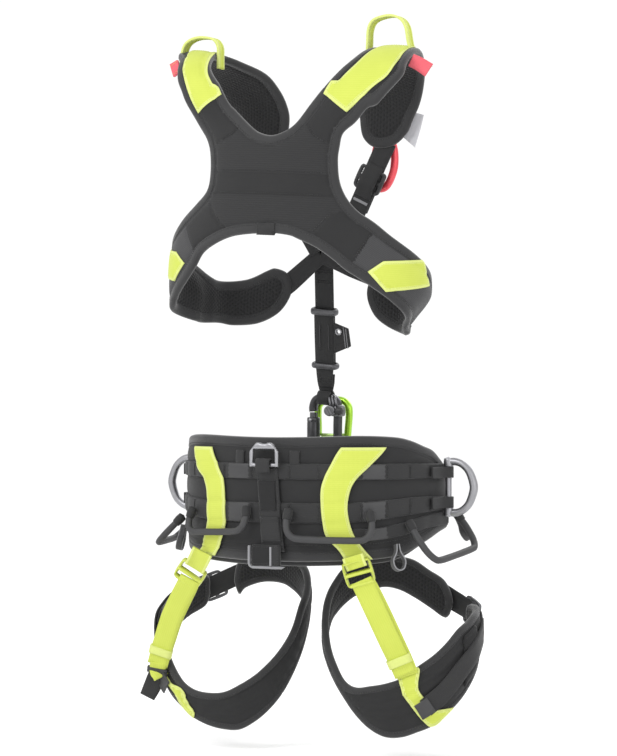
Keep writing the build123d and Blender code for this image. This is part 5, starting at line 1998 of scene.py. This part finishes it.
def leg_bridge(name, panel):
    """Adjuster and webbing across the gap, with its keeper and tail on the outer side."""
    def at(degrees, share, out):
        return leg_point(name, panel.place, degrees, share, out)

    web = leg_strap(f"leg_adjusting_strap_{name}", at, [(12, 0.5, 0.6), (26, 0.52, 1.4), (38, 0.53, 2.2),
                                                        (56, 0.53, 2.6), (70, 0.53, 2.0), (84, 0.54, 1.0)],
                                                        25)
    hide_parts("leg_webbing_" + name)
    lock = leg_lock(name, at)
    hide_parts("leg_adjuster_" + name)
    keeper_band = leg_keeper(name, panel)
    tail = leg_strap(f"leg_strap_tail_{name}", at, [(378, 0.66, 2.4), (366, 0.62, 3.4), (352, 0.55, 4.6),
                                                    (338, 0.48, 3.6), (322, 0.4, 3.0), (308, 0.33, 2.6)],
                                                    22)
    across = at(308, 0.8, 1) - at(308, 0.3, 1)
    # The tip uses the satin webbing, whose lighter tone is a painted glint.
    tip = [at(312, 0.35, 4.6), at(308, 0.33, 4.6), at(303, 0.31, 4.2)]
    tip = strap(f"leg_strap_tip_{name}", tip, across, 19, 1.6, ("satin",), step=1.6)
    ride_all((web, lock, keeper_band, tail, tip), "leg_" + name)


def leg_front_straps():
    ends = {"left": (-70, -74, 61), "right": (6, 26, 45)}
    for name in SIDES:
        x_top, x_low, y_low = ends[name]
        line = [(x_top, 50, -12), (x_top, 50, -24), ((x_top + x_low) / 2, (52 + y_low) / 2, -42),
                (x_low, y_low, -72),
                (x_low + (x_low - x_top) * 0.2, y_low + 1.0, -88)]
        web = strap(f"leg_front_strap_{name}", line, (1, 0, 0), 30)
        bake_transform(web)


RISER = {
    "left": [(-117, -125.5, -84), (-123, -122, -92), (-138, -113, -110), (-154, -104, -132),
             (-167, -95, -155),
             (-178, -87, -176), (-185, -82, -192)],
    "right": [(107, -131, -78), (112, -126, -92), (121, -117, -118), (130, -106, -146), (138, -94, -172),
              (143, -88, -188)],
}
RISER_ACROSS = {"left": (0.74, 0.36, -0.56), "right": (0.90, 0.34, 0.27)}


def risers():
    locks = {"left": (-117, -126.5, -79), "right": (105, -133.5, -70)}
    tops = {"left": [(-91, -143, -50), (-98, -139, -60), (-108, -132, -71)],
            "right": [(100, -139, -50), (102, -138, -57), (104, -135.5, -64)]}
    for name, side in SIDES.items():
        points = RISER[name]
        across = RISER_ACROSS[name]
        body = "leg_" + name
        web = strap(f"riser_{name}", points, across, 25, WEB, ("lime",))
        second = [np.array(p) + (2.0 * side, 4.5 * math.sin(math.pi * k / (len(points) - 1)) + 2.4, -1.5)
                  for k, p in enumerate(points)]
        under = strap(f"riser_under_{name}", second, across, 25, WEB, ("lime",))
        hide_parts("riser_" + name)
        for piece in (web, under):
            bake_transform(piece)
        stub = strap(f"riser_top_{name}", tops[name], across if name == "left" else (1, 0.2, 0.1), 25, WEB,
                     ("lime", "lime_edge"), edge=3.0, step=1.6)
        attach(stub, "belt")
        along = np.array(points[2], float) - np.array(locks[name])
        place = flat_place(locks[name], across, -along)
        lock = ladder_lock(f"riser_lock_{name}", place, "lime_plastic", 34, 31, 6.0)
        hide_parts("riser_lock_" + name)
        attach(lock, "riser_lock_" + name)
        keeper_at = np.array(points[-2], float)
        aim = np.array(points[-1], float) - keeper_at
        aim /= np.linalg.norm(aim)
        wrap = strap(f"riser_keeper_{name}", [keeper_at - aim * 5, keeper_at, keeper_at + aim * 5], across,
                     28.5, 6.4,
                     ("lime_edge",), step=1.5)
        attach(wrap, body)


RISER_PATCH = {
    "left": ([(-48.5, -201), (-60, -214), (-71, -219), (-77, -233), (-83, -247), (-82, -254)],
             [(-82, -254), (-77, -248), (-70, -238), (-60, -222), (-50, -212)]),
    "right": ([(-72, -188), (-56.5, -180), (-56.5, -206), (-43.7, -229)], [(-43.7, -229), (-28, -227)],
              [(-28, -227), (-44.6, -248), (-53.9, -241), (-67.7, -212)], [(-67.7, -212), (-72, -188)]),
}


def riser_patches(panels):
    for name in SIDES:
        base = panels[name]
        stretches = [[leg_uv(360 + a, z) for a, z in part] for part in RISER_PATCH[name]]
        if name == "left":
            stretches.append([stretches[-1][-1], stretches[0][0]])
        loop = outline(*stretches, step=2.6)
        panel = overlay(base, [loop], 0.4, 3.0, edge=0.8, rings=(LIME_EDGE,), swell=0.4)
        patch = panel.build(f"riser_patch_{name}", ["lime", "lime_edge"], edged(3.2))
        rows = edge_stitches(f"riser_patch_stitches_{name}", panel, 2.6, "lime_thread", pitch=2.8,
                             width=0.35)
        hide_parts("riser_patch_" + name)
        ride_all((patch, rows), "leg_" + name)


def riser_tail():
    """Dark end of the left riser, folded back below its keeper."""
    points = [(-187, -80, -200), (-190, -77, -208), (-196, -76, -220), (-204, -74, -233)]
    tail = strap("riser_tail", points, (0.75, 0.35, -0.45), (20, 22, 21, 19), 2.6, ("webbing",), step=2.0)
    buckle = strap("riser_tail_end", [(-186, -81, -197), (-188, -78.5, -203)], (0.75, 0.35, -0.45), 25, 5.0,
                   ("black_plastic",), step=1.5)
    link = strap("riser_foot", [(-184, -83, -190), (-186, -80, -200), (-181, -80, -208)],
                 (0.75, 0.35, -0.45), 20, WEB,
                 ("lime",), step=1.6)
    ride_all((tail, buckle, link), "leg_left")


# ---- whole object -------------------------------------------------------------------------
def build():
    yoke_panel = yoke()
    yoke_patches(yoke_panel)
    pull_loops()
    care_label()
    yoke_foot(yoke_panel)
    chest_straps()
    red_ring()
    front_strap()
    end_tab()
    belt_panel = belt_shell()
    belt_liner()
    belt_bands(belt_panel)
    lime_straps(belt_panel)
    centre_strap(belt_panel)
    rear_ring()
    keeper()
    gear_loops()
    accessory_loops()
    side_d_rings()
    waist_front()
    steel_connector()
    alloy_connector()
    leg_panels = {name: leg_shell(name) for name in SIDES}
    for name in SIDES:
        leg_bridge(name, leg_panels[name])
    leg_front_straps()
    risers()
    riser_patches(leg_panels)
    riser_tail()


add_camera()
add_studio()
build()
